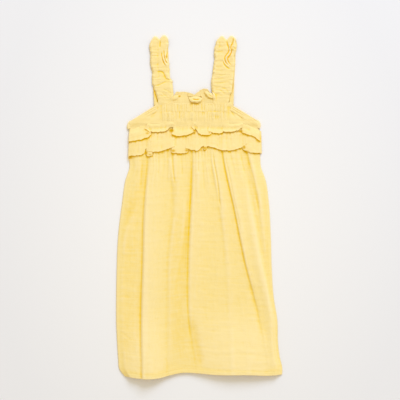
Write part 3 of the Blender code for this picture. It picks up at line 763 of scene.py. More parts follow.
@dataclass
class SkirtFront:
    """The gathered front of the skirt: three soft pleats, folds and waist gathers."""

    sides: tuple[SideLine, ...] = rows_of(SideLine,
        (150, -141, 116), (98, -141.5, 120), (84, -140.5, 121), (54, -149, 131), (12, -155, 137),
        (-54, -163, 141), (-120, -166, 143), (-180, -167, 147), (-228, -167, 154.5),
        (-270, -165, 155.5), (-300, -163, 159), (-322, -160, 164), (-335, -150, 164))
    hem: tuple[EdgePoint, ...] = rows_of(EdgePoint,
        (-150, -337), (-117, -340), (-77, -338.6), (-59, -334.3), (-37, -330), (-5, -330.5),
        (25, -332.7), (101, -333), (135, -334.6), (164, -333.2))
    pleats: tuple[Fold, ...] = rows_of(Fold,
        ((-94, -98, -107, -110, -113, -111),
          (1.6, 2.2, 4.4, 5.2, 5.2, 4.4), 7, 52, (0, 0.1, 0.32, 0.42, 0.55, 0.45)),
        ((-11, -11, -13.5, -18, -17, 0),
          (1.8, 2.4, 3.4, 3, 1.6, 0.4), 8, 44, (0, 0.28, 0.48, 0.5, 0.42, 0)),
        ((45, 50, 71, 93, 121, 140), (1.8, 2.6, 3.8, 3, 1, 0.2), 5, 34, (0, 0.65, 0.68, 0.5, 0.1, 0)))
    # Strokes of painted shade (below 0) and painted highlight (above 0), each as a crease whose rise is
    # its strength.
    painted_shading: tuple[Crease, ...] = crease_rows(
        (((-146, 70), (-146, -60), (-146, -200), (-144, -332)), -0.16, 22, 24),
        (((-113, 116), (-115, 74), (-121, 40), (-132, 6), (-146, -36)), -0.34, 12, 10),
        (((93, 128), (95, 112), (98, 94), (101, 72)), -0.45, 1.6),
        (((-105, 70), (-106, -60), (-107, -200), (-106, -335)), 0.42, 4, 9),
        (((-44, 20), (-45, -100), (-44, -220), (-38, -325)), -0.2, 13, 16),
        (((-56, 114), (-54, 84), (-50, 50), (-50, 10)), -0.24, 5, 3.5),
        (((-18, 104), (-20, 50), (-25, -10), (-30, -90), (-33, -170), (-26, -225)), -0.2, 9, 3.5),
        (((-22, -210), (-12, -260), (-4, -300), (0, -330)), -0.22, 12, 16),
        (((2, -60), (6, -150), (8, -230)), -0.08, 16, 20),
        (((84, -60), (94, -120), (108, -180), (122, -240), (132, -290)), -0.2, 6, 7),
        (((93, 60), (102, -12), (114, -75), (124, -132), (137, -186), (149, -227),
          (153, -262)), 0.45, 3.5, 5),
        (((96, 112), (102, 74), (111, 34), (117, -6)), -0.26, 5),
        (((130, -20), (134, -90), (140, -170), (146, -240)), -0.1, 6, 8),
        (((30, -316), (90, -318), (150, -320)), 0.14, 16, 12))
    soft_folds: tuple[Fold, ...] = rows_of(Fold,
        ((-122, -123, -134, -158, -160, -155), (1, 1.6, 1.8, 0, 0, 0), 10, 18),
        ((-56, -55, -49, -59, -60, -60), (1.4, 2.2, 2, 1.4, 1, 1), 8, 26),
        ((-5, -5, -4, -4, -4, -4), (1.4, 1.8, 0, 0, 0, 0), 6, 10),
        ((22, 26, 43, 55, 60, 65), (1.4, 2.4, 1.8, 0.8, 0.6, 0.6), 7, 22),
        ((70, 78, 99, 119, 144, 152), (0.8, 1, 2, 3, 2.8, 1.2), 18, 11),
        ((94, 98, 119, 133, 140, 145), (1.4, 2.4, 1.2, 0, 0, 0), 5, 16))
    hem_lifts: tuple[Lobe, ...] = rows_of(Lobe, (-108, 58, 8.5), (80, 104, 9))
    lift_start_y: float = -190.0
    loft: float = 1.6
    roll: float = 14.0
    seam_turn: float = 3.0
    seam_level: float = 0.6
    counts: tuple[int, ...] = (26, 66, 60, 46)
    edge_steps: tuple[float, ...] = (0.0, 0.06, 0.22, 0.5, 1.1, 1.9, 3.0, 4.4)
    edge_run: float = 6.2
    foot_width: float = 1.9
    # A painted highlight along the rolled left and right sides: its strength and width.
    side_highlights: tuple[Pair, ...] = ((0.5, 5.5), (0.25, 3.5))
    fold_growth: float = 80.0
    seam_growth: float = 34.0
    crinkles: tuple[tuple[float, Pair, int], ...] = (
        (0.16, (26.0, 4.2), 13), (0.14, (5.0, 34.0), 14), (0.10, (7.0, 6.0), 15))
    drop: float = 490.0
    hem_run: float = 12.5
    hem_steps: tuple[float, ...] = (
        11.4, 10.6, 10.1, 9.6, 9.0, 8.0, 6.4, 4.8, 3.4, 2.2, 1.3, 0.6, 0.2, 0.0)
    hem_band: float = 10.0
    hem_step: float = 0.45
    stitch_dents: tuple[Pair, ...] = ((0.5, 0.8), (0.35, 2.2))
    creases: tuple[Crease, ...] = crease_rows(
        (((-57, 116), (-55, 92), (-53, 68), (-50, 44)), -1.5, 2.2, 1.8),
        (((-54, 62), (-52, 36), (-51, 8), (-53, -30)), -1, 6, 4.5),
        (((-61, 104), (-61, 80), (-62, 50)), 0.9, 2.5, 3),
        (((-126, 96), (-127, 60), (-130, 24), (-138, -10), (-150, -42)), -1, 8, 5.5),
        (((-115, 98), (-117, 64), (-119, 34)), -0.8, 2.5),
        (((-28, -16), (-31, -60), (-37, -105), (-46, -152), (-48, -190)), -0.9, 8, 4.5),
        (((-32, 20), (-34, -40), (-37, -80)), 0.6, 4, 3),
        (((-27, -60), (-30, -110), (-31, -150)), -0.5, 1.6),
        (((-4, 116), (-4, 94), (-3, 66)), -1.4, 1.7),
        (((25, 118), (28, 90), (33, 62), (37, 36), (39, 14), (44, -12)), -1.8, 1.8),
        (((49, 116), (53, 90), (60, 56), (67, 20), (76, -22), (84, -64)), -1, 1.6, 1.8),
        (((-15, 116), (-16, 80), (-17, 40), (-20, -10)), -0.9, 1.8, 1.6),
        (((7, 100), (7, 66), (8, 30)), -0.5, 2.2), (((15, 96), (17, 56), (18, 20)), 0.5, 3),
        (((92, 122), (97, 96), (103, 70), (110, 40), (116, 8), (121, -26)), -1.6, 2.4, 2.6),
        (((-82, 108), (-83, 80), (-83, 58)), -0.5, 2), (((-71, 106), (-72, 84), (-73, 66)), -0.4, 2),
        (((61, 108), (66, 84), (72, 60)), -0.5, 2), (((80, 112), (85, 88), (91, 62)), -0.7, 2, 2.2),
        (((-38, 104), (-37, 86), (-35, 62)), -0.5, 1.8),
        (((-18, -225), (-12, -262), (-2, -300), (2, -328)), -1.4, 9, 15),
        (((98, -140), (110, -186), (122, -226), (134, -270)), -1, 7, 8),
        (((148, 60), (128, 30), (134, -40), (137, -90), (141, -150)), -0.6, 5),
        (((-162, -34), (-146, -31), (-132, -33)), -0.35, 1.6),
        (((-158, 38), (-142, 40), (-131, 38)), -0.45, 1.5),
        (((-160, 10), (-146, 12), (-133, 9)), -0.45, 1.5),
        (((-160, -6), (-146, -5), (-136, -8)), -0.4, 1.5),
        (((-164, -92), (-146, -96), (-128, -94)), -0.35, 2),
        (((-166, -176), (-150, -174), (-138, -179)), -0.35, 2),
        (((-164, -246), (-150, -252), (-136, -262)), -0.4, 2),
        (((-160, -264), (-148, -262), (-138, -258)), -0.3, 1.8),
        (((-46, -8), (-24, -12), (-8, -9)), -0.25, 1.6),
        (((-14, -24), (20, -28), (58, -22)), -0.25, 1.8),
        (((46, -116), (70, -112), (88, -118)), -0.25, 2),
        (((26, -296), (90, -293), (150, -298)), -0.3, 2.2))
    gathers: int = 34
    gather_height: float = 1.3
    gather_fade: float = 34.0

    def crest_x(self, fold: Fold, y: Array | float) -> Array:
        """A fold's crest at height y."""
        return smooth_through(FOLD_Y[::-1], fold.crest[::-1], y)

    def crest_height(self, fold: Fold, y: Array) -> Array:
        """A fold's height at height y."""
        return np.maximum(smooth_through(FOLD_Y[::-1], fold.height[::-1], y), 0.0)

    def columns(self, y: float) -> tuple[Array, Array]:
        """Where the columns stand at height y.

        Args:
            y: The height down the skirt, in millimetres.

        Returns:
            Each column's x, and how far up on each pleat it stands, from 0 to 1.
        """
        left, right = side_x(self.sides, y)
        face, steps = np.linspace(0, 1, 9), np.array(self.edge_steps)
        xs, start = [], left
        weights = [[] for _ in self.pleats]
        for k, pleat in enumerate(self.pleats):
            crest = self.crest_x(pleat, y)
            foot = crest - pleat.left
            run = np.linspace(start, foot, self.counts[k] + 1)
            if k == 0:
                inner = np.linspace(left + self.edge_run, foot, self.counts[k])
                run = np.concatenate([left + steps, inner])
            xs.extend([run[:-1], foot + (crest - foot) * face])
            start = crest + 1.0
            for j, weight in enumerate(weights):
                before = np.zeros(len(run) - 1) if j >= k else np.ones(len(run) - 1)
                during = eased(face) if j == k else np.full(len(face), float(j < k))
                weight.extend([before, during])
        inner = np.linspace(start, right - self.edge_run, self.counts[-1])
        xs.append(np.concatenate([inner, right - steps[::-1]]))
        for weight in weights:
            weight.append(np.ones(len(xs[-1])))
        return np.concatenate(xs), np.array([np.concatenate(weight) for weight in weights])

    def tone(self, x: Array, y: Array) -> Array:
        """How much painted shade (below 0) or painted highlight (above 0) the cloth gets: from the
        listed strokes, along the folds' feet and along its sides.

        Args:
            x, y: Places on the front, in millimetres.

        Returns:
            The tone at each place, about -1 to 1.
        """
        tone = creased(self.painted_shading, x, y)
        # Painted shade along each pleat's foot.
        for fold in self.pleats:
            depth = smooth_through(FOLD_Y[::-1], fold.shade[::-1], y)
            foot = self.crest_x(fold, y) - 0.8 * fold.left
            tone = tone - depth * bell((x - foot) / self.foot_width)
        left, right = side_x(self.sides, y)
        # A painted highlight along each rolled side.
        (left_highlight, left_width), (right_highlight, right_width) = self.side_highlights
        tone = tone + left_highlight * bell((x - left) / left_width)
        return tone + right_highlight * bell((right - x) / right_width)

    def waist_gathers(self, share: Array, y: Array) -> Array:
        """How high the gathers under the waist seam stand, at shares across and heights.

        Args:
            share: How far across the front each place is, from 0 to 1.
            y: Its height, in millimetres.

        Returns:
            The height that the gathers add.
        """
        waves = self.gathers * share + 1.1 * soft_noise(share * 40, y, (5.0, 90.0), 11)
        uneven = 0.55 + 0.45 * soft_noise(share * 60, y, (3.0, 60.0), 12)
        fade = np.exp(-np.maximum(WAIST_Y - 30 - y, 0) / (self.gather_fade * (0.6 + uneven)))
        return self.gather_height * uneven * fade * np.abs(np.sin(pi * waves)) ** 0.7

    def lie(self, x: Array, y: Array, weights: Array) -> Array:
        """How high the cloth's middle lies at points of the front.

        Args:
            x, y: The points, in millimetres.
            weights: How far up on each pleat each point stands, from 0 to 1.

        Returns:
            The height over the front's own level, in millimetres.
        """
        left, right = side_x(self.sides, y)
        lifted = eased((self.lift_start_y - y) / (self.lift_start_y - HEM_Y))
        height = self.loft + lifted * lobes_at(self.hem_lifts, x, 0.9)
        for pleat, weight in zip(self.pleats, weights):
            fall = eased(1 - (x - self.crest_x(pleat, y)) / pleat.right)
            height = height + self.crest_height(pleat, y) * weight * np.where(weight < 1, 1, fall)
        for fold in self.soft_folds:
            away = x - self.crest_x(fold, y)
            shape = np.where(away < 0, eased(1 + away / fold.left), eased(1 - away / fold.right))
            height = height + self.crest_height(fold, y) * shape
        height = height * (0.5 + 0.5 * eased((WAIST_Y - y) / self.fold_growth))
        height = height + self.waist_gathers((x - left) / (right - left), y)
        height = height + creased(self.creases, x, y)
        height = height * (0.3 + 0.7 * eased((WAIST_Y - y) / self.seam_growth))
        for amount, pitch, seed in self.crinkles:
            height = height + amount * soft_noise(x, y, pitch, seed)
        return height

    def turn_up(self, above: float) -> float:
        """The step of the hem's turn-up, with the dents of its stitches, so far above the hem.

        Args:
            above: How far above the hem, in millimetres.

        Returns:
            The height that the turn-up adds.
        """
        past = above - self.hem_band
        step = self.hem_step * eased((0.4 - past) / 0.8)
        for depth, below in self.stitch_dents:
            step = step - depth * bell((past + below) / 0.5)
        return step

    def build(self) -> ClothGrid:
        """Builds the front of the skirt, rolled down to the side seams.

        Returns:
            Its grid, with the new object.
        """
        plain = np.linspace(0, 1 - self.hem_run / self.drop, 170)
        at_hem = 1 - np.array(self.hem_steps) / self.drop
        rows, painted_shading = [], []
        for share in np.concatenate([plain, at_hem]):
            y = WAIST_Y + share * (HEM_Y - WAIST_Y)
            xs, weights = self.columns(y)
            ys = np.full_like(xs, y)
            left, right = side_x(self.sides, y)
            inward = np.minimum(xs - left, right - xs)
            turn = np.sqrt(np.clip(1 - (1 - np.clip(inward / self.seam_turn, 0, 1)) ** 2, 0, 1))
            level = self.seam_level + (FRONT_LEVEL - self.seam_level) * turn
            height = self.lie(xs, ys, weights) + self.turn_up(y - HEM_Y)
            z = level + eased(inward / self.roll) * height
            stretched = WAIST_Y - GAP + share * (edge_y(self.hem, xs) - WAIST_Y)
            rows.append(np.stack([xs, stretched, z], axis=1))
            painted_shading.append(self.tone(xs, ys))
        grid = ClothGrid(np.array(rows), SKIRT_CUT, tone=np.array(painted_shading))
        relief.lay(grid.middle + [0, 0, SHEET / 2])
        return grid.shell("skirt_front_gauze")


@dataclass
class SkirtBack:
    """The plain back of the skirt, flat on the surface with a few soft creases."""

    skirt: SkirtFront
    inset: float = 1.3
    hem_above: float = 0.6
    ripple: float = 0.10
    crease_top: float = 0.5
    side_fade: float = 9.0
    creases: tuple[Crease, ...] = crease_rows(
        (((-96, 146), (-104, 40), (-110, -120), (-108, -300)), 0.4, 4, 6),
        (((-30, 146), (-26, 60), (-30, -60), (-22, -210), (-20, -320)), 0.45, 5),
        (((38, 146), (52, 40), (74, -70), (92, -200), (100, -310)), 0.42, 5, 4),
        (((88, 146), (100, 60), (112, -40)), 0.35, 4), (((-64, 146), (-66, 80), (-70, 10)), 0.32, 3),
        (((6, 146), (8, 90), (14, 30)), 0.32, 3))

    def build(self) -> ClothGrid:
        """Builds the back of the skirt.

        Returns:
            Its grid, with the new object.
        """
        rows = []
        for share in edged(150, WAIST_Y - HEM_Y):
            y = WAIST_Y + share * (HEM_Y - WAIST_Y)
            left, right = side_x(self.skirt.sides, y)
            xs = left + self.inset + (right - left - 2 * self.inset) * edged(110, 310.0)
            ys = np.full_like(xs, y)
            stretched = WAIST_Y - GAP + share * (edge_y(self.skirt.hem, xs) + self.hem_above - WAIST_Y)
            ripple = self.ripple + self.ripple * soft_noise(xs, ys, (16.0, 7.0), 21)
            lift = np.clip(creased(self.creases, xs, ys) + ripple, 0, self.crease_top)
            z = SHEET / 2 + lift * eased(np.minimum(xs - left, right - xs) / self.side_fade)
            rows.append(np.stack([xs, stretched, z], axis=1))
        return ClothGrid(np.array(rows), SKIRT_CUT).shell("skirt_back_gauze")


class CasingLine(NamedTuple):
    """The corners of an armhole casing on the front, and the bulge of its outer end."""

    start_outer: Pair
    start_inner: Pair
    end_outer: Pair
    end_middle: Pair
    end_inner: Pair


CASING_LINES = {
    Hand.LEFT: CasingLine(
        (-89.5, 203.5), (-83.5, 193.5), (-138.5, 172.5), (-143.5, 165.0), (-142.5, 157.0)),
    Hand.RIGHT: CasingLine(
        (65.0, 204.0), (59.0, 194.5), (113.5, 174.0), (119.0, 166.5), (117.5, 158.0)),
}


def seam_under_casings(level: float, gap: float) -> Callable[[Array], Array]:
    """A ruffle's seam: level in the middle and turned down along the casing at each side.

    Args:
        level: The seam's height in the middle.
        gap: How far under the casings' inner lines it turns down.

    Returns:
        The seam's height as a function of x.
    """

    def seam(x: Array) -> Array:
        """The line of the seam.

        Args:
            x: Places along it, in millimetres.

        Returns:
            The seam's height at each place.
        """
        line = np.full_like(x, level)
        for casing in CASING_LINES.values():
            (x0, y0), (x1, y1) = casing.start_inner, casing.end_inner
            line = np.minimum(line, y0 + (y1 - y0) / (x1 - x0) * (x - x0) - gap)
        return line

    return seam


@dataclass
class BodiceFront:
    """The shirred front of the bodice, up to the thread under its neck frill."""

    sides: tuple[SideLine, ...] = rows_of(SideLine,
        (236, -88, 63), (208, -88, 63), (200, -92.5, 69), (190, -109, 82), (180, -127, 100),
        (171, -140, 114), (164, -143, 119), (156, -141.5, 116.5), (150, -139, 116))
    shirred: Pair = (-79.0, 58.0)
    gathers: int = 28
    top_rim: float = 2.0
    threads: tuple[float, ...] = (208.0, 191.0, 174.0)
    thread_depths: tuple[float, ...] = (0.20, 0.28, 0.0)
    fullness: tuple[float, ...] = (0.7, 1.1, 1.4)
    wing_rise: float = 0.9
    ruffle_bed: float = 1.4
    frill_bed: float = 2.4
    frill_reach: Pair = (-66.0, 38.0)
    frill_fade: float = 6.0
    dip_height: float = 0.75
    dip_shade: float = 0.58
    creases: tuple[Crease, ...] = crease_rows(
        (((62, 206), (72, 192), (84, 178), (90, 168)), -0.8, 1.8, 2.5),
        (((82, 186), (83, 174), (83, 160)), -0.7, 1.4), (((58, 204), (64, 190), (72, 176)), -0.6, 1.6),
        (((98, 178), (104, 168), (106, 156)), -0.5, 2),
        (((-82, 204), (-90, 190), (-102, 176)), -0.7, 2),
        (((-86, 188), (-96, 178), (-110, 170)), -0.5, 2.2),
        (((-120, 170), (-124, 160), (-126, 150)), -0.5, 2))

    def columns(self, y: float) -> Array:
        """The columns at height y: a plain wing each side of the gathers.

        Args:
            y: The height, in millimetres.

        Returns:
            Each column's x.
        """
        left, right = side_x(self.sides, y)
        wing = np.linspace(left, self.shirred[0], 18)[:-1]
        gathers = np.linspace(*self.shirred, 6 * self.gathers + 1)
        return np.concatenate([wing, gathers, np.linspace(self.shirred[1], right, 18)[1:]])

    def puffs(self, x: Array, y: float) -> Array:
        """How far the gathers stand up between the elastic threads.

        Args:
            x: Places along one row, in millimetres.
            y: The row's height.

        Returns:
            The height the gathers add at each place.
        """
        share = (x - self.shirred[0]) / (self.shirred[1] - self.shirred[0])
        inside = eased(share / 0.05) * eased((1 - share) / 0.05)
        upper, middle, lower = self.threads
        band = int(y < upper) + int(y < middle)
        swell = 1.0 - sum(depth * bell((y - thread) / 2.0)
                          for thread, depth in zip(self.threads, self.thread_depths))
        hidden = 0.15 + 0.85 * eased((y - lower + 10.0) / 9.0)
        row = np.full_like(share, float(band))
        phase = self.gathers * share + 0.85 * soft_noise(share * 100, row, (3.1, 1.0), 31 + band)
        phase = phase + 0.10 * soft_noise(share * 60, row + y / 7.0, (2.0, 1.0), 35)
        uneven = 0.58 + 0.42 * soft_noise(share * 100, row, (2.3, 1.0), 41 + band)
        wave = np.abs(np.sin(pi * phase)) ** 0.6
        plain = 0.40 * soft_noise(share * 100, row + y / 9.0, (9.0, 1.0), 51)
        stand = self.fullness[band] * uneven * wave * swell * hidden
        return inside * (stand + (0.2 * swell + 0.3) * hidden) + plain * (0.3 + 0.7 * hidden)

    def build(self) -> ClothGrid:
        """Builds the bodice's front below its neck frill.

        Returns:
            Its grid, with the new object.
        """
        top, lowest = self.threads[0], self.threads[2]
        rim = [top + self.top_rim, top + self.top_rim * 0.6]
        middle, half = sum(self.shirred) / 2, (self.shirred[1] - self.shirred[0]) / 2
        first, last = self.frill_reach
        rows, painted_shading = [], []
        for y in np.concatenate([rim, np.linspace(top, WAIST_Y + GAP, 68)]):
            xs = self.columns(y)
            ys = np.full_like(xs, y)
            puffs = self.puffs(xs, y)
            z = FRONT_LEVEL + 0.4 + puffs + creased(self.creases, xs, ys)
            wing = eased((np.abs(xs - middle) - half + 6.0) / 10.0)
            z = z + 0.5 + self.wing_rise * wing * eased((lowest + 16.0 - ys) / 14.0)
            z = z - self.ruffle_bed * eased((lowest - 5.0 - ys) / 9.0)
            under_frill = eased((xs - first) / self.frill_fade) * eased((last - xs) / self.frill_fade)
            z = z - self.frill_bed * eased((ys - top) / self.top_rim) * under_frill
            rows.append(np.stack([xs, ys, np.maximum(z, FRONT_LEVEL - 0.6)], axis=1))
            # Painted shade in the dips between the gathers, in the shirred bands.
            dip = np.clip(1 - puffs / self.dip_height, 0, 1) * eased(1 - wing)
            shown = eased((ys - lowest) / 5.0) * eased((FRILL_ROOT_Y - ys) / 4.0)
            painted_shading.append(-self.dip_shade * dip * shown)
        points = np.array(rows)
        calm = 0.9 * eased((lowest + 7.0 - points[:, :, 1]) / 5.0)
        grid = ClothGrid(points, (300.0, 66.0), cut_share=0.78, calm=calm, tone=np.array(painted_shading))
        relief.lay(grid.middle + [0, 0, SHEET / 2])
        return grid.shell("bodice_front_gauze")


BODICE = BodiceFront()


class FrillRow(NamedTuple):
    """One place along the neck frill: where it is gathered on, its crest and its free edge."""

    root_x: float
    crest: Triple
    edge: Triple


@dataclass
class NeckFrill:
    """The frill above the top thread, cut in one with the bodice's front."""

    bodice: BodiceFront
    root_y: float = FRILL_ROOT_Y
    root_z: float = 3.1
    rows: tuple[FrillRow, ...] = rows_of(FrillRow,
        (-63, (-62, 210, 2), (-62, 211, 2)), (-58, (-58, 219, 3), (-59, 215.6, 3.4)),
        (-54, (-55, 222.6, 3.4), (-55.6, 214.6, 4)), (-50, (-50.5, 223.8, 3.6), (-50.4, 214.4, 4.3)),
        (-46, (-46, 224.2, 3.6), (-45.4, 216.4, 4.3)), (-42, (-42.4, 224.4, 3.6), (-41.4, 221, 4.1)),
        (-38, (-38, 224.4, 3.5), (-37, 227.4, 3.9)), (-32, (-31.5, 224, 3.6), (-31, 228, 4)),
        (-27, (-26.5, 222.6, 3.8), (-26, 225.6, 4.4)), (-23, (-21.6, 219.6, 4.4), (-21.4, 216.4, 5.4)),
        (-18, (-17, 220.4, 5), (-18.2, 211.8, 6.4)), (-12, (-10, 221.4, 5.2), (-10.5, 209.2, 6.8)),
        (-6, (-3.4, 221, 5.2), (-3, 209.6, 6.6)), (-1, (0.4, 219.8, 4.8), (2, 212.6, 6.2)),
        (3, (3.4, 219.4, 4.6), (4, 217.4, 5.4)), (6, (3, 226, 4.4), (0, 229, 4.8)),
        (8, (3.5, 229, 4.4), (-1, 233, 5.2)), (10, (6.5, 231, 4.8), (5, 236.4, 5.6)),
        (12, (11, 231.6, 5.2), (12, 237, 6.4)), (14.5, (15, 231, 5.4), (15.5, 235, 6.6)),
        (16.5, (16.5, 229.6, 5.6), (9.5, 230, 6.8)), (19, (19, 228.6, 5.6), (12, 224.6, 6.8)),
        (22, (22.5, 227.6, 5.4), (16, 219.8, 6.8)), (26, (26, 226, 5), (22, 217.4, 6.4)),
        (29, (28.5, 222, 4.2), (27, 218, 5.4)), (32, (31, 214, 2.2), (31, 213.6, 2.4)),
        (35, (34.5, 209, 1.4), (34.5, 209.4, 1.6)))
    creases: tuple[Crease, ...] = crease_rows(
        (((-16, 216.4), (-8, 215), (0, 216)), -1.7, 1.1),
        (((-17, 212.8), (-8, 212.2), (2, 213.2)), 0.7, 1.2),
        (((-14, 217.8), (-8, 217.2), (-1, 217.6)), 0.5, 0.8),
        (((17, 227), (20, 222.6), (26, 220.6)), -0.8, 1),
        (((8.6, 232), (10.4, 227), (13.6, 222), (18, 218.2), (25, 217)), -0.9, 1.2))
    crinkle: float = 0.5

    def build(self) -> ClothGrid:
        """Builds the frill.

        Returns:
            Its grid, with the new object.
        """
        table = [(row.root_x, self.root_y, self.root_z, *row.crest, *row.edge) for row in self.rows]
        root, crest, edge = np.split(spline(table, 9), 3, axis=1)
        root[:, 2] += 0.8 * self.bodice.puffs(root[:, 0], self.root_y)
        along = lengths_along(edge)
        for axis in range(3):
            edge[:, axis] += self.crinkle * line_noise(along, 3.6, 640 + axis)
        flop = eased((crest[:, 1] - edge[:, 1] + 2.0) / 8.0)
        ripple = self.bodice.puffs(root[:, 0], self.root_y + 10.0) - 0.5
        belly = (root + crest) / 2 + [0, 0, 0.2]
        beyond = edge + (edge - crest) * [0.6, 0.6, 0.1]
        turns = [2 * root - belly, root, belly, crest, edge, beyond]
        rows, painted_shading = [], []
        for v in np.concatenate([np.linspace(0, 2, 15)[:-1], 2 + edged(24, 14.0)]):
            k = min(int(v), 2)
            point = between(*turns[k : k + 4], v - k)
            gather = 0.9 * ripple * eased(v / 0.8) * (1 - 0.28 * v)
            turned = eased((v - 2.0) / 0.2)
            dents = turned * flop * creased(self.creases, point[:, 0], point[:, 1])
            bulge = 0.9 * flop * bell((v - 2.6) / 0.3)
            point[:, 2] += np.maximum(gather, -0.4) + dents + bulge
            rows.append(point)
            # Painted shade in the flop's dents and a painted highlight along its rim.
            painted_shading.append(0.7 * dents + 0.15 * flop * eased((v - 2.84) / 0.12))
        points = np.array(rows)[::-1]
        roll = 0.7 + 0.35 * eased(1.6 - 0.9 * np.arange(len(rows)))
        wall = np.tile(roll[:, None], (1, points.shape[1]))
        grid = ClothGrid(points, (150.0, 24.0), wall=wall, rounding=0.5, tone=np.array(painted_shading)[::-1],
                         calm=np.full(wall.shape, 0.75))
        relief.lay(points + [0, 0, 0.35])
        return grid.shell("neck_frill_gauze")


@dataclass
class Ruffle:
    """One gathered tier: its seam, and its rolled hem with every wave and pinch."""

    name: str
    seam_y: float
    seam_gap: float
    hem: tuple[HemPoint, ...]
    gather_lines: tuple[Crease, ...]
    flat: Pair
    seed: int
    fullness: float
    crinkle: Triple = (0.5, 1.1, 1.2)
    wall: float = 0.7
    bead: float = 1.0
    bead_width: float = 1.3
    hem_shade_width: float = 0.35
    evenness: float = 0.18
    gather_pitch: float = 8.2

    def rolled_hem(self) -> Array:
        """The line of the hem, with its fine crinkle.

        Returns:
            Its points in space.
        """
        hem = spline(self.hem, 8)
        along = lengths_along(hem)
        for axis, amount in enumerate(self.crinkle):
            for pitch, part in ((6.5, 0.6), (3.1, 0.5)):
                seed = self.seed + 10 * axis + int(pitch)
                hem[:, axis] += amount * part * line_noise(along, pitch, seed)
        hem[:, 2] = np.maximum(hem[:, 2], 0.3)
        return hem

    def seam_x(self, hem: Array, lengths: Array) -> Array:
        """Where each point of the hem is gathered in on the seam.

        Args:
            hem: The hem's line.
            lengths: How far along it each point is.

        Returns:
            The x of each point's place on the seam, rising from end to end.
        """
        rising = np.maximum.accumulate(hem[:, 0])
        falling = np.minimum.accumulate(hem[::-1, 0])[::-1]
        even = hem[0, 0] + lengths / lengths[-1] * (hem[-1, 0] - hem[0, 0])
        x = (1 - self.evenness) * (rising + falling) / 2 + self.evenness * even
        return np.interp(x, (x[0], x[-1]), (hem[0, 0] + 1.0, hem[-1, 0] - 1.0))

    def build(self) -> ClothGrid:
        """Builds the tier on what is laid so far.

        Returns:
            Its grid, with the new object.
        """
        bed, laid = relief.bed(2), relief.laid(1)
        hem = self.rolled_hem()
        lengths = lengths_along(hem[:, :2])
        top_x = self.seam_x(hem, lengths)
        top_y = seam_under_casings(self.seam_y, self.seam_gap)(top_x)
        drop = float(np.mean(top_y - hem[:, 1]))
        ripple = np.sin(2 * pi * (lengths / self.gather_pitch) + 2.4 * line_noise(lengths, 17.0, 71))
        uneven = 0.65 + 0.35 * line_noise(lengths, 11.0, 72)
        waves = line_noise(lengths, 15.0, 74)
        rows, wall, calm, tone = [], [], [], []
        for t in edged(28, drop):
            x = top_x + (hem[:, 0] - top_x) * t**1.15
            y = top_y + (hem[:, 1] - top_y) * t
            below, above = t * drop, (1 - t) * drop
            free = eased(below / 11.0)
            gather = self.fullness * ripple * uneven * eased(t / 0.10) * (1 - t) ** 1.6
            crinkle = 0.24 * soft_noise(lengths, np.full_like(x, below), (4.5, 6.0), 73)
            crinkle = crinkle + 0.22 * waves * (0.3 + 0.7 * t)
            lines = creased(self.gather_lines, x, y)
            seam = relief.read(laid, x, y) + 0.1
            rest = relief.read(bed, x, y) + self.wall / 2
            body = 0.3 * free + free * np.maximum(gather + lines + crinkle, -0.3)
            z = seam + (rest - seam) * free + body + 0.32 * hem[:, 2] * t**2
            rows.append(np.stack([x, y, z], axis=1))
            rolled = eased((self.bead_width - above) / 0.5 + 0.5)
            full = self.wall + (self.bead - self.wall) * rolled
            wall.append(np.full(len(x), 0.3 + (full - 0.3) * free))
            calm.append(np.full(len(x), 0.9 * eased((12.0 - below) / 7.0)))
            # Painted shade along the very edge of the rolled hem.
            tone.append(np.full(len(x), -0.9 * float(above < self.hem_shade_width)))
        # The face that looks down gets full painted shade.
        grid = ClothGrid(np.array(rows), self.flat, wall=np.array(wall), rounding=0.6,
                         calm=np.array(calm), tone=np.array(tone), inside=1.0)
        relief.lay(grid.middle + [0, 0, SHEET / 2])
        return grid.shell(self.name)


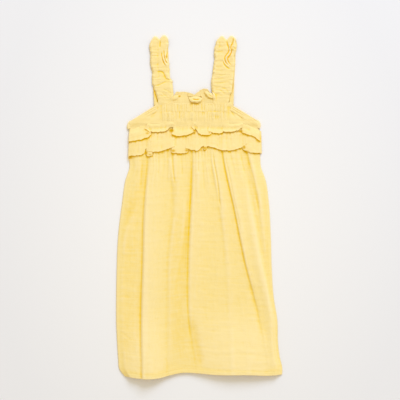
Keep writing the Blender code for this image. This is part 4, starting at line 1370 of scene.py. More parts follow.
UPPER_RUFFLE = Ruffle(
    name="ruffle_upper_gauze", seam_y=172.0, seam_gap=1.4, flat=(320.0, 32.0), seed=500,
    fullness=0.2,
    hem=rows_of(HemPoint,
        (-143, 131, 1.2), (-136, 132.6, 2.2), (-127, 134, 3), (-117, 135.8, 3.2), (-108, 138.2, 3),
        (-101, 142, 3.2), (-97.6, 146.5, 3.8), (-102, 151.5, 4.6), (-108.5, 155.6, 4.6),
        (-110, 157.6, 3), (-106, 157.6, 1.2), (-102.5, 153.2, 1.6), (-97, 151.2, 2.6),
        (-89, 150.2, 3.6), (-79, 150.4, 3.8), (-70, 152.4, 3.8), (-64, 155.2, 4), (-60.5, 159.2, 2.6),
        (-56, 161, 0.9), (-51, 159, 0.5), (-48.6, 154.4, 1.2), (-51.5, 149.4, 2.8), (-55.6, 146.2, 4),
        (-51.5, 143.4, 4.2), (-43, 142.2, 4.2), (-34, 142.4, 4.2), (-24, 145, 4), (-15, 148.4, 3.8),
        (-9.4, 150.8, 3.8), (-12, 154.6, 4.4), (-17.2, 159.4, 4), (-15.6, 162, 2), (-11, 159, 0.9),
        (-6, 153, 1.2), (-2.6, 148.4, 3), (3, 145.4, 3.6), (9, 144, 3.6), (15, 144.2, 3.4),
        (20.4, 146.4, 2.6), (22.4, 149.6, 1.2), (19, 153, 0.8), (15.6, 153.4, 2.6), (19, 151.2, 3.4),
        (26, 149.2, 3.6), (35, 147.2, 3.6), (41, 147.4, 3.4), (45.4, 149.8, 2.6), (46.4, 152.6, 1),
        (44.6, 153.8, 1), (47, 151.8, 2.8), (54, 150.6, 3.6), (62, 150.6, 3.8), (70, 152.2, 3.8),
        (77, 155, 3.8), (82, 158, 3.4), (86.4, 158.4, 1.2), (86.8, 154, 0.8), (83.2, 150.6, 2.8),
        (88, 148.2, 3.4), (95, 146, 3.2), (103, 144, 3), (109, 141.2, 2.8), (114, 137, 2.2),
        (119, 132.2, 1)),
    gather_lines=crease_rows(
        (((15.5, 150), (15.4, 158), (15, 166)), -0.9, 1),
        (((43.4, 148), (43.2, 155), (43, 161)), -0.9, 1),
        (((-59, 156), (-57, 162), (-55, 167)), -0.7, 1.3),
        (((-12, 158), (-11, 163), (-10, 167)), -0.7, 1.2),
        (((83, 157), (82, 162), (80, 167)), -0.7, 1.2),
        (((-78, 154), (-78, 159), (-77, 165)), -0.4, 1.1),
        (((-36, 148), (-35, 154), (-34, 162)), -0.4, 1.1)))

LOWER_RUFFLE = Ruffle(
    name="ruffle_lower_gauze", seam_y=157.0, seam_gap=2.8, flat=(340.0, 50.0), seed=600,
    fullness=0.45,
    hem=rows_of(HemPoint,
        (-142.6, 93, 0.8), (-143.4, 97.5, 1.6), (-141, 102, 2.6), (-133, 103.2, 2.8), (-124, 103.6, 3),
        (-116, 105.6, 3.2), (-111, 109.4, 3.2), (-109.4, 114.4, 2.6), (-107.6, 117, 1.2),
        (-106, 113.4, 0.7), (-107.6, 106.6, 1.8), (-106.2, 103, 3), (-100, 102.2, 3.2),
        (-94.6, 103.8, 2.8), (-95.6, 107.4, 1.4), (-101, 109, 1.2), (-105, 111.2, 2.6),
        (-100, 111, 3.6), (-91, 110.8, 3.8), (-82, 111.6, 3.8), (-73, 113.8, 3.8), (-63, 117, 3.8),
        (-55.6, 119.6, 3.8), (-50.6, 121.6, 3), (-48.8, 118.6, 1.4), (-52, 114, 1.8),
        (-57.6, 110.8, 3.4), (-52.6, 108.8, 3.8), (-44, 107.8, 3.8), (-35, 107.6, 3.6),
        (-28, 108.6, 3.4), (-24, 111.6, 2.8), (-24.4, 115, 1.8), (-28.6, 118.4, 2.6), (-23, 116.8, 3.6),
        (-16, 114.6, 3.6), (-9, 113.2, 3.6), (-3.6, 113.6, 3.2), (0.6, 117, 2.8), (4, 120.6, 2.6),
        (9, 121.8, 2.2), (13.4, 119.4, 3.2), (11.4, 115.6, 4), (6.8, 116.6, 3.8), (8.6, 121, 2.2),
        (14.6, 122.8, 2.4), (20, 121.2, 3.4), (28, 118.8, 3.8), (37, 116, 4), (47, 114.2, 4.2),
        (57, 113.4, 4.2), (67, 114, 4.2), (76, 116.8, 4), (84, 120.6, 4), (91, 125.2, 3.6),
        (94.4, 129, 2.8), (92, 131, 1), (88, 126.4, 0.7), (84.4, 119.8, 1.6), (87.4, 115.2, 3),
        (93, 112, 3.2), (101, 110, 3.2), (110, 109.2, 3), (118, 108.8, 2.4), (123.2, 108, 1)),
    gather_lines=crease_rows(
        (((12, 123), (12, 131), (12.4, 140)), -1.4, 1.1),
        (((43.4, 118), (43.4, 128), (43, 142)), -1.1, 1),
        (((39.4, 121), (39.2, 131), (39.2, 144)), -0.7, 1),
        (((79.4, 124), (79.2, 136), (79, 148)), -1, 1.1),
        (((-100, 113), (-99.4, 122), (-99, 134)), -1, 1.2),
        (((-108, 118), (-107, 126), (-105, 138)), -1.4, 1.5),
        (((-50, 121), (-49, 130), (-48, 140)), -1, 1.6),
        (((-26, 118), (-25, 128), (-24, 140)), -1, 1.6),
        (((-16, 118), (-16, 128), (-16, 140)), -0.7, 1.2),
        (((-124, 108), (-124, 118), (-123, 128)), -0.7, 1.4),
        (((-133, 108), (-133, 118), (-132, 128)), -0.5, 1.4),
        (((106, 114), (105, 124), (104, 136)), -0.7, 1.6),
        (((62, 118), (62, 128), (61, 140)), -0.5, 1.6)))


@dataclass
class Strap:
    """A gathered strap: up the back, over the fold at the shoulder and down the front."""

    hand: Hand
    sides: tuple[SideLine, ...]
    back_x: Pair
    back_end: tuple[EdgePoint, ...]
    top: tuple[float, ...]
    creases: tuple[Crease, ...]
    seed: int
    flat: Pair = (44.0, 255.0)
    front_level: float = 4.6
    rim_level: float = 2.5
    base_fade: float = 20.0
    base_level: float = 3.9
    crease_shading: float = 0.36
    slit_rise: float = 2.2
    slit_top: float = 250.0
    slit_fade: float = 14.0
    slit_foot: float = 200.0
    slit_shade_depth: float = 1.0
    slit_shade_start: float = 206.0
    edge_wander: float = 0.8

    def back_rows(self, across: Array, fold_x: Array, fold_y: Array) -> tuple[list, list]:
        """The rows of the strap's back, from its sewn end up to the fold.

        Args:
            across: The columns' shares of the width.
            fold_x, fold_y: The fold at the shoulder.

        Returns:
            The rows of points and their tones.
        """
        back_x = self.back_x[0] + (self.back_x[1] - self.back_x[0]) * across
        back_y = edge_y(self.back_end, back_x)
        rows, painted_shading = [], []
        for share in np.linspace(1, 0, 40):
            x = fold_x + (back_x - fold_x) * eased(share)
            y = fold_y + share * (back_y - fold_y)
            left, right = side_x(self.sides, y)
            beyond = left - x if self.hand is Hand.LEFT else x - right
            open_slit = eased((self.slit_top - y) / self.slit_fade)
            rise = self.slit_rise * eased((beyond + 0.5) / 2.5) * open_slit
            z = SHEET / 2 + 0.12 * (1 + soft_noise(x, y, (12.0, 5.0), self.seed))
            z = z + rise * eased((y - self.slit_foot) / 4.0)
            # Painted shade over the back layer where the slit shows it, darkest along the front's edge.
            line = bell((beyond - 0.5) / 1.3) * eased((y - self.slit_shade_start) / 6.0)
            painted_shading.append(-self.slit_shade_depth * open_slit * (0.15 + line))
            rows.append(np.stack([x, y, np.maximum(z, SHEET / 2)], axis=1))
        return rows, painted_shading

    def front_rows(self, across: Array, fold_y: Array) -> tuple[list, list, list]:
        """The rows of the strap's front, from the fold down to the bodice.

        Args:
            across: The columns' shares of the width.
            fold_y: The fold at the shoulder.

        Returns:
            The rows of points, their walls and their painted shading.
        """
        bed, laid = relief.bed(1), relief.laid(2)
        base_y = self.sides[0].y
        rows, walls, painted_shading = [], [], []
        for share in edged(170, 134.0)[4:]:
            y = fold_y + share * (base_y - fold_y)
            left, right = side_x(self.sides, y)
            left = left + self.edge_wander * line_noise(y, 5.5, self.seed + 1)
            right = right + self.edge_wander * line_noise(y, 5.5, self.seed + 2)
            x = left + (right - left) * across
            inward = np.minimum(x - left, right - x)
            crown = self.rim_level + (self.front_level - self.rim_level) * eased(inward / 4.0)
            frill = 0.8 * soft_noise(x, y, (9.0, 4.6), self.seed + 3) * eased(1 - inward / 11.0)
            ruche = 0.30 * soft_noise(x, y, (22.0, 2.4), self.seed + 4)
            ruche = ruche + 0.22 * soft_noise(x, y, (6.0, 5.0), self.seed + 5)
            creases = creased(self.creases, x, y)
            settle = eased(share / 0.06)
            lie = crown + settle * (frill + ruche + creases)
            lie = lie + (self.front_level - crown) * (1 - settle)
            wall = SHEET - 0.55 * (1 - eased((y - base_y) / self.base_fade))
            floor = np.maximum(relief.read(bed, x, y) + wall / 2 + 0.15, SHEET + GAP + SHEET / 2)
            lie = floor + np.maximum(lie - floor, 0.0)
            near_base = eased((y - base_y - 1.0) / self.base_fade)
            cloth = np.maximum(relief.read(laid, x, y), self.base_level)
            sunk = 0.6 * eased((base_y + 6.0 - y) / 6.0)
            lie = (cloth + wall / 2 - sunk) * (1 - near_base) + lie * near_base
            rows.append(np.stack([x, y, lie], axis=1))
            walls.append(wall)
            # Painted shade in the creases' troughs and a painted highlight on their ridges.
            painted_shading.append(self.crease_shading * creases)
        return rows, walls, painted_shading

    def build(self) -> ClothGrid:
        """Builds the strap on what is laid so far.

        Returns:
            Its grid, with the new object.
        """
        across = edged(58, 36.0)
        fold_y = smooth_through(np.linspace(0, 1, len(self.top)), self.top, across)
        left, right = side_x(self.sides, fold_y)
        fold_x = left + (right - left) * across
        half = (self.front_level - 0.2 - SHEET / 2) / 2
        fold_y = fold_y - half
        back, slit_shading = self.back_rows(across, fold_x, fold_y)
        over = []
        for angle in np.linspace(0, pi, 12)[1:-1]:
            z = np.full_like(fold_y, half + SHEET / 2 - half * np.cos(angle))
            over.append(np.stack([fold_x, fold_y + half * np.sin(angle), z], axis=1))
        front, walls, painted_shading = self.front_rows(across, fold_y)
        points = np.array(back + over + front)
        wall = np.full(points.shape[:2], SHEET)
        tone, calm = np.zeros(wall.shape), np.zeros(wall.shape)
        wall[-len(front) :], tone[-len(front) :] = walls, painted_shading
        tone[: len(back)], calm[: len(back)] = slit_shading, 1.0
        grid = ClothGrid(points, self.flat, wall=wall, rounding=0.4, tone=tone, calm=calm)
        relief.lay(np.array(over + front) + [0, 0, SHEET / 2])
        return grid.shell(f"strap_{self.hand.value}_gauze")


LEFT_STRAP = Strap(
    hand=Hand.LEFT, seed=100, back_x=(-91.8, -59.0), crease_shading=0.26,
    back_end=rows_of(EdgePoint,
        (-93, 201.8), (-86, 202.6), (-82.4, 207), (-79.6, 220), (-76, 222), (-59, 222)),
    top=(332.4, 341.0, 340.4, 335.8, 342.4, 343.4, 337.0),
    sides=rows_of(SideLine,
        (204, -83, -54), (212, -84.2, -53.6), (225, -88, -53.5), (236, -91.8, -53.6), (246, -95, -55),
        (252, -96, -55), (257, -96.5, -58.5), (270, -95, -60.5), (288, -98.5, -62), (300, -99.5, -64.5),
        (312, -99, -65), (324, -100.5, -63), (335, -97.5, -64)),
    creases=crease_rows(
        (((-83, 250), (-84, 280), (-84, 312), (-84, 342)), -0.4, 2.4, 2),
        (((-80.4, 318), (-79.6, 330), (-79.6, 342)), -1.6, 1.4),
        (((-88, 271), (-80, 272), (-74, 270), (-70, 263), (-67, 257),
          (-55, 255)), -0.9, 1.5, 1.3, -0.8, 12),
        (((-94, 243), (-84, 244), (-75, 248), (-66, 253)), -0.8, 1.5),
        (((-94, 258), (-86, 259), (-79, 263)), -0.4, 1.4),
        (((-60, 214), (-68, 222), (-80, 232)), -0.35, 1.8),
        (((-56, 226), (-62, 231), (-76, 237)), -0.5, 1.6),
        (((-66, 212), (-72, 220), (-82, 226)), -0.3, 1.6),
        (((-98, 301), (-90, 303), (-82, 302)), -0.25, 1.5),
        (((-98, 310), (-91, 308), (-85, 310)), -0.4, 1.5),
        (((-98, 321), (-90, 320), (-84, 322)), -0.25, 1.4),
        (((-97, 286), (-88, 284), (-82, 287)), -0.25, 1.5),
        (((-76.6, 312), (-76.6, 305), (-75, 296.5), (-72.4, 289), (-68.6, 282.4)), -1.5, 1.2, 1.1),
        (((-74.4, 306), (-73.6, 299), (-71.4, 292.6), (-68, 286), (-64.6, 282)), 1.6, 1.1),
        (((-73, 316), (-71.8, 308), (-71.4, 302), (-69.6, 295), (-66.6, 289), (-63.4, 285)), -1.6, 1.1),
        (((-70, 308), (-69.4, 301), (-67.4, 294), (-64, 289)), 1.3, 1),
        (((-64, 322), (-64.6, 312), (-66.8, 304), (-68, 298), (-66.6, 292.6)), -1.8, 1.1, 1.3)))

RIGHT_STRAP = Strap(
    hand=Hand.RIGHT, seed=200, back_x=(26.0, 67.2), slit_top=256.0, slit_shade_depth=0.5,
    back_end=rows_of(EdgePoint, (26, 222), (52, 222), (54.6, 217), (56.6, 206), (59, 203), (69, 202.4)),
    top=(335.0, 342.4, 334.8, 342.8, 336.5),
    sides=rows_of(SideLine,
        (204, 27, 56.8), (212, 26.8, 57.4), (220, 26.5, 59), (229, 25, 62.6), (238, 23.6, 64.8),
        (249, 22.5, 66.4), (258, 23, 67.5), (270, 25, 69), (288, 27.5, 70.5), (300, 29, 69),
        (318, 29, 73), (330, 32.5, 73), (337, 35, 71.5)),
    creases=crease_rows(
        (((53, 342), (53.6, 333), (54.6, 325), (57.6, 318), (56.6, 310), (51, 302.6), (49, 296),
          (51.4, 288.6), (58, 281.6)), -1.9, 1.2),
        (((60.4, 333), (59.6, 326), (59, 318), (60.4, 312), (57.6, 305.4), (53, 300), (52.4, 295),
          (55, 288.8), (61.6, 282.6)), 1.9, 1.1),
        (((66, 340), (65.4, 329), (62, 323), (60.8, 318), (62.4, 310), (59.4, 303), (55.6, 298),
          (55.2, 293.6), (58, 288), (65, 281.6)), -2.1, 1.2),
        (((47.8, 297), (49, 290), (53.6, 284), (60, 279)), 1.1, 1),
        (((46, 293), (47.8, 286.4), (53.4, 279.8), (60.6, 276)), -1.1, 1.2),
        (((69, 334), (67.4, 324), (65.6, 313), (62.8, 304), (59.6, 298)), 1.2, 1.3),
        (((64.6, 321), (68, 318), (72, 316)), -1.2, 1.7),
        (((28, 312), (38, 311), (48, 313)), -0.5, 1.5), (((24, 257), (36, 256), (48, 258)), -0.35, 1.4),
        (((42, 253), (52, 252), (64, 255)), -0.3, 1.3), (((23, 249), (36, 248), (54, 251)), -0.4, 1.4),
        (((24, 242), (34, 240), (44, 242)), -0.4, 1.4), (((44, 244), (54, 243), (64, 247)), -0.3, 1.3),
        (((30, 265), (44, 264), (54, 267)), -0.25, 1.3), (((28, 272), (36, 272), (48, 275)), -0.2, 1.3),
        (((30, 281), (38, 280), (46, 282)), -0.3, 1.3), (((29, 228), (38, 226), (46, 220)), -0.35, 1.8),
        (((27, 236), (42, 233), (52, 224)), -0.45, 1.7), (((40, 240), (52, 236), (58, 226)), -0.4, 1.6),
        (((36, 334), (39, 326), (38, 316)), -0.5, 1.8)))


@dataclass
class ArmholeCasing:
    """The gathered casing of an armhole: along the front, round the underarm, along the back."""

    hand: Hand
    line: CasingLine
    seed: int
    front_level: float = 3.5
    flat: Pair = (15.0, 128.0)
    troughs: tuple[Pair, ...] = ((0.30, 0.75), (0.62, 0.65))
    trough_width: float = 0.085

    def outer_end(self, across: Array) -> tuple[Array, Array]:
        """The rounded end at the underarm.

        Args:
            across: The columns' shares of the width, as a column.

        Returns:
            The end's points, and the direction out of the casing at each.
        """
        outer, inner = np.array(self.line.end_outer), np.array(self.line.end_inner)
        bulge = np.array(self.line.end_middle) * 2 - (outer + inner) / 2
        end = outer * (1 - across) ** 2 + bulge * 2 * across * (1 - across) + inner * across**2
        tangent = np.gradient(end, across[:, 0], axis=0)
        outward = np.stack([tangent[:, 1], -tangent[:, 0]], axis=1)
        return end, outward / np.linalg.norm(outward, axis=1, keepdims=True)

    def troughs_at(self, share: float, across: Array) -> Array:
        """How deep the long troughs of the gathered casing are across one place along it.

        Args:
            share: How far along the casing the place is, from 0 to 1.
            across: The columns' shares of the width.

        Returns:
            The height, below 0 in a trough, at each column.
        """
        wander = 0.05 * line_noise(np.full_like(across, share * 60.0), 13.0, self.seed)
        fold = np.zeros_like(across)
        for at, depth in self.troughs:
            strength = 0.7 + 0.3 * np.sin(share * 9.0 + at * 20)
            fold = fold - depth * strength * bell((across - at - wander) / self.trough_width)
        return fold

    def build(self) -> ClothGrid:
        """Builds the casing round the edge of the bodice.

        Returns:
            Its grid, with the new object.
        """
        across = edged(24, 12.5)[:, None]
        start = np.array(self.line.start_outer) * (1 - across)
        start = start + np.array(self.line.start_inner) * across
        end, outward = self.outer_end(across)
        outward *= np.sign(np.sum(outward * (end - start), axis=1, keepdims=True))
        across = across[:, 0]
        rim = 0.9 * (1 - np.sqrt(np.clip(1 - (2 * across - 1) ** 6, 0, 1)))
        bed = relief.laid(1)
        rows = []
        for share in edged(60, 60.0)[:-4]:
            place = start + (end - start) * share
            settle = eased((1 - share) / 0.12)
            ruche = 0.22 * soft_noise(place[:, 0], place[:, 1], (3.2, 9.0), self.seed + 1)
            z = self.front_level + settle * (self.troughs_at(share, across) + ruche + 0.25 - rim)
            rest = relief.read(bed, place[:, 0], place[:, 1]) + 0.35
            inner = eased((across - 0.72) / 0.28) * settle
            rows.append(np.column_stack([place, z + (np.minimum(rest, z) - z) * inner]))
        on_front = len(rows) - 4
        low = SHEET / 2
        half = (self.front_level - low) / 2
        for angle in np.linspace(0, pi, 12)[1:-1]:
            z = np.full(len(end), low + half + half * np.cos(angle))
            rows.append(np.column_stack([end + outward * half * np.sin(angle), z]))
        for share in np.linspace(1, 0, 16):
            rows.append(np.column_stack([start + (end - start) * share, np.full(len(end), low)]))
        points = np.array(rows)
        turn = np.cross(points[1, 0] - points[0, 0], points[0, 1] - points[0, 0])[2] > 0
        grid = ClothGrid(points, self.flat, rounding=0.5, flip=not turn)
        relief.lay(points[:on_front] + [0, 0, SHEET / 2])
        return grid.shell(f"armhole_casing_{self.hand.value}_gauze")


@dataclass
class BodiceBack:
    """The plain back of the bodice, and the neck frill that shows behind the front."""

    casing_inset: float = 3.4
    raised: Lobe = Lobe(-8, 24, 1.0)
    neck: tuple[EdgePoint, ...] = rows_of(EdgePoint,
        (-52, 223), (-49, 229), (-40, 230.8), (-33, 231.2), (-23, 229.6), (-15, 227), (-10.5, 225.4),
        (-6.5, 229), (-1, 232.2), (5, 234.2), (11, 235), (18, 233), (21.5, 226))

    def edges(self, y: float) -> Pair:
        """How far the panel reaches to each side at height y, inside the casings.

        Args:
            y: The height, in millimetres.

        Returns:
            The x of its left and of its right edge.
        """
        reach = []
        waist = side_x(BODICE.sides, WAIST_Y)
        for hand, sign, side in zip(Hand, (1, -1), waist):
            (x0, y0), (x1, y1) = CASING_LINES[hand].start_inner, CASING_LINES[hand].end_inner
            along = x0 + (x1 - x0) * np.clip((y - y0) / (y1 - y0), 0, 1) + self.casing_inset * sign
            reach.append(side if y < y1 else along)
        return reach[0], reach[1]

    def panel(self) -> ClothGrid:
        """Builds the flat panel.

        Returns:
            Its grid, with the new object.
        """
        rows = []
        for share in edged(50, 71.0):
            y = BACK_NECK_Y + share * (WAIST_Y + GAP - BACK_NECK_Y)
            left, right = self.edges(y)
            xs = left + (right - left) * edged(70, 200.0)
            ys = np.full_like(xs, y)
            z = SHEET / 2 + 0.15 + 0.15 * soft_noise(xs, ys, (5.0, 14.0), 81)
            rows.append(np.stack([xs, ys, np.maximum(z, SHEET / 2)], axis=1))
        return ClothGrid(np.array(rows), (215.0, 72.0)).shell("bodice_back_gauze")

    def frill(self) -> ClothGrid:
        """Builds the frill over the panel's top edge, raised under the front's middle curl.

        Returns:
            Its grid, with the new object.
        """
        xs = self.neck[0].x + (self.neck[-1].x - self.neck[0].x) * edged(90, 73.0)
        top = edge_y(self.neck, xs)
        ripple = np.sin(2 * pi * xs / 7.5 + 2.5 * line_noise(xs, 12.0, 82))
        raised = lobes_at((self.raised,), xs, 0.6)
        rows = []
        for share in edged(10, 10.0):
            ys = top + (BACK_NECK_Y - 0.4 - top) * share
            z = 2.4 + 1.8 * raised - 1.1 * share**4 * (1 - 0.9 * raised)
            z = z + 0.3 * ripple * (1 - 0.6 * share) + 0.5 * (1 - share) ** 2
            rows.append(np.stack([xs, ys, z], axis=1))
        points = np.array(rows)
        relief.lay(points + [0, 0, SHEET / 2])
        grid = ClothGrid(points, (86.0, 10.0), wall=0.8, calm=np.ones(points.shape[:2]))
        return grid.shell("back_neck_frill_gauze")


# ---------------------------- stitches


@dataclass
class StitchRow:
    """A row of sewn stitches along a path on the cloth."""

    name: str
    path: Array
    stitch: float = 2.2
    pitch: float = 3.0
    thread: float = 0.22

    def places(self, lengths: Array, at: Array) -> Array:
        """The points of the path so far along it."""
        return np.stack([np.interp(at, lengths, self.path[:, k]) for k in range(3)], axis=1)

    def build(self, model: bpy.types.Mesh) -> bpy.types.Object:
        """Lays copies of one stitch along the path, on the cloth under it.

        Args:
            model: A stitch of unit half length along X, to copy.

        Returns:
            The row, as one joined mesh.
        """
        lengths = lengths_along(self.path)
        at = np.arange(self.pitch / 2, lengths[-1], self.pitch)
        forward = self.places(lengths, at + 0.5) - self.places(lengths, at - 0.5)
        forward /= np.linalg.norm(forward, axis=1, keepdims=True) + 1e-9
        side = np.cross([0.0, 0.0, 1.0], forward)
        side /= np.linalg.norm(side, axis=1, keepdims=True) + 1e-9
        up = np.cross(forward, side)
        shape = np.array([vertex.co for vertex in model.vertices])
        scaled = shape * [self.stitch / 2, self.thread, self.thread]
        points = self.places(lengths, at)[:, None]
        for axis, direction in enumerate((forward, side, up)):
            points = points + scaled[None, :, axis, None] * direction[:, None]
        faces = [[corner + k * len(shape) for corner in polygon.vertices]
                 for k in range(len(at)) for polygon in model.polygons]
        mesh = bpy.data.meshes.new(self.name)
        mesh.from_pydata((points.reshape(-1, 3) * MM).tolist(), [], faces)
        mesh.polygons.foreach_set("use_smooth", np.ones(len(faces), dtype=bool))
        row = bpy.data.objects.new(self.name, mesh)
        bpy.context.scene.collection.objects.link(row)
        return row


def one_stitch() -> bpy.types.Mesh:
    """A thread that dives into the cloth at both ends, along X.

    Returns:
        The mesh of one stitch, to copy.
    """
    bpy.ops.object.select_all(action="DESELECT")
    bpy.ops.mesh.primitive_uv_sphere_add(segments=6, ring_count=5, radius=1.0)
    stitch = bpy.context.object
    bpy.ops.object.mode_set(mode="EDIT")
    bpy.ops.mesh.select_all(action="SELECT")
    bpy.ops.transform.rotate(value=pi / 2, orient_axis="Y", center_override=(0, 0, 0))
    bpy.ops.object.mode_set(mode="OBJECT")
    mesh = stitch.data.copy()
    bpy.data.objects.remove(stitch, do_unlink=True)
    return mesh


def on_cloth(path: Sequence[Pair], above: float = 0.1) -> Array:
    """A path seen from above, laid on the cloth below it."""
    line = spline(path, 12)
    return np.column_stack([line, relief.read(relief.laid(1), line[:, 0], line[:, 1]) + above])


def stitch_paths(skirt: SkirtFront) -> list[tuple[str, list[Pair]]]:
    """The rows of stitching that show, each as a name and a path seen from above.

    Args:
        skirt: The skirt's front, for the line of its hem.

    Returns:
        The rows: two along the hem, two along the shirring and one along each casing.
    """
    rows = []
    for name, above in (("hem_stitches_upper", 11.0), ("hem_stitches_lower", 9.4)):
        share = 1.0 - above / (WAIST_Y - HEM_Y)
        xs = np.linspace(-150.0, 158.0, 27)
        ys = WAIST_Y - GAP + share * (edge_y(skirt.hem, xs) - WAIST_Y)
        rows.append((name, list(zip(xs, ys))))
    left, right = BODICE.shirred
    for name, level in (("shirring_stitches_upper", 207.0), ("shirring_stitches_lower", 191.0)):
        rows.append((name, [(x, level) for x in np.linspace(left + 2.0, right - 2.0, 12)]))
    for hand, line in CASING_LINES.items():
        start, end = np.array(line.start_inner), np.array(line.end_inner)
        inset = 1.8 * np.array([-1.0 if hand is Hand.LEFT else 1.0, 1.2]) / np.hypot(1.0, 1.2)
        path = [tuple(start + (end - start) * t + inset) for t in np.linspace(0.05, 0.93, 8)]
        rows.append((f"casing_stitches_{hand.value}", path))
    return rows


# ---------------------------- marks in the folds


class Pit(NamedTuple):
    """A place where a hem is pinched: its middle, half sizes and how deep the painted shade there is.
    """

    x: float
    y: float
    half_x: float
    half_y: float
    depth: float


# Where pinched hems, flaps and slits get painted shade, darkest in the middle.
PITS = rows_of(Pit,
    (-57, 153.5, 4.8, 3.6, 1.6), (-105, 148, 3.2, 2.2, 0.9), (-10.5, 153, 3.2, 2.8, 1.4),
    (19, 149, 2, 1.6, 0.8), (46, 150, 2, 1.6, 0.8), (81, 152, 4.4, 2.6, 1.3), (118, 131.5, 4, 1.8, 1.1),
    (-140, 130.5, 4, 1.6, 1), (-138.6, 99.8, 3.8, 2.8, 1.5), (-107, 108.5, 2.6, 4, 1.3),
    (-99, 105.5, 4, 1.4, 0.9), (-53.5, 113, 4.2, 2.6, 1.2), (-26, 114, 3.8, 2.6, 1.2),
    (9.5, 118.5, 3.6, 2.8, 1.3), (2, 114.5, 3, 1.6, 0.9), (88, 120, 3, 3.4, 1.2),
    (92, 112.5, 5, 1.5, 0.9), (119, 107.5, 4, 1.6, 1), (-41, 222, 2.4, 1.8, 1.3),
    (-50, 214.4, 7, 1.4, 0.4), (8.5, 228, 1.5, 2.4, 0.6), (12, 222.6, 1.7, 2.6, 0.7),
    (17, 218, 3.2, 1.4, 0.8), (23, 216.6, 3, 1.2, 0.6), (-11, 207.8, 8, 1.6, 0.8),
    (-93.2, 238, 1, 3.6, 1), (-91.4, 232, 1.1, 4, 1.1), (-89.4, 225.5, 1.1, 4, 1.1),
    (-87, 219, 1.1, 4, 1.1), (-85.2, 213, 1.1, 3.6, 1), (66.4, 335, 1.2, 3.4, 0.9),
    (65, 315, 3, 2.6, 0.7), (-66.6, 301, 1.5, 3.2, 1))


def ramp(value: Array, start: float, over: float) -> Array:
    """A rise from 0 to 1 that starts at a value and takes so much of it."""
    return np.clip((value - start) / over, 0, 1)


def local_mean(z: Array) -> Array:
    """The mean of a grid's heights over the few points round each.

    Args:
        z: The heights.

    Returns:
        The mean at each point.
    """
    mean = z
    for _ in range(2):
        for axis, reach in ((0, 2), (1, 3)):
            padded = np.pad(mean, [(reach, reach) if k == axis else (0, 0) for k in (0, 1)], "edge")
            spans = [np.take(padded, range(k, k + z.shape[axis]), axis) for k in range(2 * reach + 1)]
            mean = sum(spans) / len(spans)
    return mean


def mark_folds(grid: ClothGrid, shelter: Array, near: Array, wide: Array) -> None:
    """Paints shade on each point of a piece that lies in a fold, a trough, a low light's cast shadow or
    a pinched spot, and a highlight on each crest, from the cloth around it.

    Args:
        grid: The piece's grid, with its object.
        shelter: How high the cloth keeps a low light off each place.
        near, wide: The lie of the cloth, blurred a little and more.
    """
    x, y, z = np.moveaxis(grid.middle, 2, 0)
    tone = np.zeros_like(z) if grid.tone is None else grid.tone
    lively = 1.0 - (np.zeros_like(z) if grid.calm is None else grid.calm)
    fine = local_mean(z) - z
    above, under = relief.read(near, x, y) - z, relief.read(shelter, x, y) - z
    valley = relief.read(wide, x, y) - relief.read(near, x, y)
    # Painted shade where the cloth round a point stands higher, in fine creases, in broad valleys and
    # in the cast shadow of cloth up the dress; a painted highlight on crests.
    painted_fold_shade = 1.1 * ramp(above, 0.6, 1.6) + 0.6 * ramp(fine, 0.12, 0.9)
    painted_fold_shade = painted_fold_shade + 0.25 * ramp(valley, 0.3, 1.4) + ramp(under, 0.7, 0.9)
    crest = 0.6 * ramp(-above, 0.3, 1.8) + 0.8 * ramp(-fine, 0.06, 0.7)
    # Painted shade, darkest, at the listed pinched spots.
    painted_pits = np.zeros_like(z)
    for painted_pit in PITS:
        away = ((x - painted_pit.x) / painted_pit.half_x) ** 2 + ((y - painted_pit.y) / painted_pit.half_y) ** 2
        painted_pits = painted_pits + painted_pit.depth * np.exp(-(away**1.5))
    # Each piece's own painted shade and highlight join the marks; the face that looks down gets the
    # piece's inside shade.
    grid.mark("painted_fold_shade", painted_fold_shade * lively + ramp(-tone, 0, 1) + 0.3 * painted_pits, grid.inside)
    grid.mark("crest", (crest * lively + ramp(tone, 0, 1)) * np.clip(1 - painted_pits, 0, 1), 0.0)
    grid.mark("painted_pit", 0.75 * painted_pits, 0.0)


# ---------------------------- the room


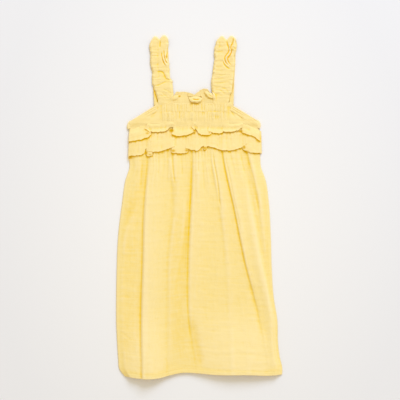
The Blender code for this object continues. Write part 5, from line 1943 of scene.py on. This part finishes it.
@dataclass(frozen=True)
class Room:
    """A pale floor, a soft lamp from the upper right, and the camera straight above."""

    floor_tone: Colour = (0.825, 0.815, 0.826, 1.0)
    # A painted pool of warm bounce light round the dress, and how far it reaches.
    painted_bounce_tone: Colour = (0.945, 0.918, 0.886, 1.0)
    painted_bounce_reach: Pair = (0.42, 0.62)
    floor_size: float = 8.0
    floor_level: float = -0.0004
    floor_roughness: float = 0.9
    floor_specular: float = 0.1
    lamp_size: float = 2.6
    lamp_energy: float = 270.0
    lamp_tone: Triple = (0.60, 0.725, 1.0)
    lamp_place: Triple = (1.45, 4.5, 3.1)
    sky_tone: Colour = (1.0, 0.92, 0.735, 1.0)
    sky_strength: float = 0.775
    lens: float = 85.0
    sensor: float = 36.0
    view_width: float = 0.8
    view_middle: Pair = (0.0, 0.015)

    def lay_floor(self) -> None:
        """A pale floor, with a painted pool of warm bounce light round the dress."""
        bpy.ops.object.select_all(action="DESELECT")
        bpy.ops.mesh.primitive_plane_add(size=self.floor_size, location=(0, 0, self.floor_level))
        floor = bpy.context.object
        floor.name = "floor"
        bpy.ops.object.transform_apply(location=True)
        material, book, shader = new_material("pale floor")
        place = book.add("ShaderNodeTexCoord").outputs["Object"]
        scale = (1 / self.painted_bounce_reach[0], 1 / self.painted_bounce_reach[1], 1.0)
        spread = book.add("ShaderNodeMapping", {"Scale": scale, "Vector": place}).outputs[0]
        bounce_pool = book.add("ShaderNodeTexGradient", {"Vector": spread}, gradient_type="SPHERICAL")
        tone = book.mix(bounce_pool.outputs["Fac"], self.floor_tone, self.painted_bounce_tone)
        book.feed(shader.inputs["Base Color"], tone)
        shader.inputs["Roughness"].default_value = self.floor_roughness
        shader.inputs["Specular IOR Level"].default_value = self.floor_specular
        floor.data.materials.append(material)

    def hang_lamp(self) -> None:
        """A soft square lamp that looks at the middle of the dress."""
        lamp = bpy.data.lights.new("softbox", "AREA")
        lamp.shape = "SQUARE"
        lamp.size = self.lamp_size
        lamp.energy = self.lamp_energy
        lamp.color = self.lamp_tone
        softbox = bpy.data.objects.new("softbox", lamp)
        softbox.location = self.lamp_place
        softbox.rotation_euler = (-softbox.location).to_track_quat("-Z", "Y").to_euler()
        bpy.context.scene.collection.objects.link(softbox)

    def light_sky(self) -> None:
        """A warm, even light from all round."""
        world = bpy.data.worlds.new("room")
        world.use_nodes = True
        sky = world.node_tree.nodes["Background"]
        sky.inputs["Color"].default_value = self.sky_tone
        sky.inputs["Strength"].default_value = self.sky_strength
        bpy.context.scene.world = world
        bpy.context.scene.view_settings.view_transform = "Standard"

    def set_camera(self) -> None:
        """The camera, straight above, so high that it sees the view's width."""
        lens = bpy.data.cameras.new("camera")
        lens.lens = self.lens
        lens.sensor_width = self.sensor
        camera = bpy.data.objects.new("camera", lens)
        camera.location = (*self.view_middle, self.view_width / self.sensor * self.lens)
        bpy.context.scene.collection.objects.link(camera)
        bpy.context.scene.camera = camera

    def build(self) -> None:
        """Builds the room."""
        self.lay_floor()
        self.hang_lamp()
        self.light_sky()
        self.set_camera()


# ---------------------------- the whole


def dress_piece(piece: bpy.types.Object, finish: bpy.types.Material, *nodes: str) -> None:
    """Gives a piece its finish, sets it on the root and hides the parts that it replaces.

    Args:
        piece: The new piece.
        finish: Its material.
        nodes: The nodes that it stands for.
    """
    piece.data.materials.append(finish)
    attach(piece, "root")
    if nodes:
        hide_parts(*nodes)
    log.info("%s: %d faces", piece.name, len(piece.data.polygons))


def main() -> None:
    """Builds the dress piece by piece, then the room."""
    logging.basicConfig(level=logging.INFO)
    group = gauze_group()
    cotton = GauzeFinish().material("crinkled cotton gauze", group)
    shirred = GauzeFinish(open_tone=srgb(249, 223, 152)).material("shirred cotton gauze", group)
    thread = ThreadFinish().material("sewing thread")
    grids: list[ClothGrid] = []

    def lay(grid: ClothGrid, held: str, rests_on: Sequence[str], *nodes: str) -> None:
        """Dresses a built sheet and keeps its grid.

        Args:
            grid: The sheet, with its object.
            held: How it is held: laid, gathered or folded. Not used.
            rests_on: The pieces that it rests on. Not used.
            *nodes: The nodes that it stands for.
        """
        piece = grid.object
        dress_piece(piece, cotton if piece.name.startswith("skirt") else shirred, *nodes)
        grids.append(grid)

    skirt, bodice_back = SkirtFront(), BodiceBack()
    lay(SkirtBack(skirt).build(), "laid", (), "skirt_back")
    lay(skirt.build(), "gathered", ("skirt_back_gauze",), "skirt_front")
    lay(bodice_back.panel(), "laid", (), "bodice_back")
    lay(bodice_back.frill(), "gathered", ())
    on_bodice = ("bodice_front_gauze",)
    lay(BODICE.build(), "gathered", ("bodice_back_gauze",), "bodice_front")
    lay(NeckFrill(BODICE).build(), "gathered", on_bodice)
    lay(LOWER_RUFFLE.build(), "gathered", on_bodice, "ruffle_lower")
    lay(UPPER_RUFFLE.build(), "gathered", on_bodice, "ruffle_upper")
    for hand, seed in ((Hand.LEFT, 300), (Hand.RIGHT, 400)):
        casing = ArmholeCasing(hand, CASING_LINES[hand], seed)
        lay(casing.build(), "folded", on_bodice, f"armhole_casing_{hand.value}")
    for strap in (LEFT_STRAP, RIGHT_STRAP):
        lay(strap.build(), "folded", on_bodice, f"strap_{strap.hand.value}")
    stitch = one_stitch()
    for name, path in stitch_paths(skirt):
        dress_piece(StitchRow(name, on_cloth(path)).build(stitch), thread)
    near, wide, shelter = relief.laid(4), relief.laid(10), relief.shelter()
    for grid in grids:
        mark_folds(grid, shelter, near, wide)

    Room().build()


if __name__ == "__main__":
    main()
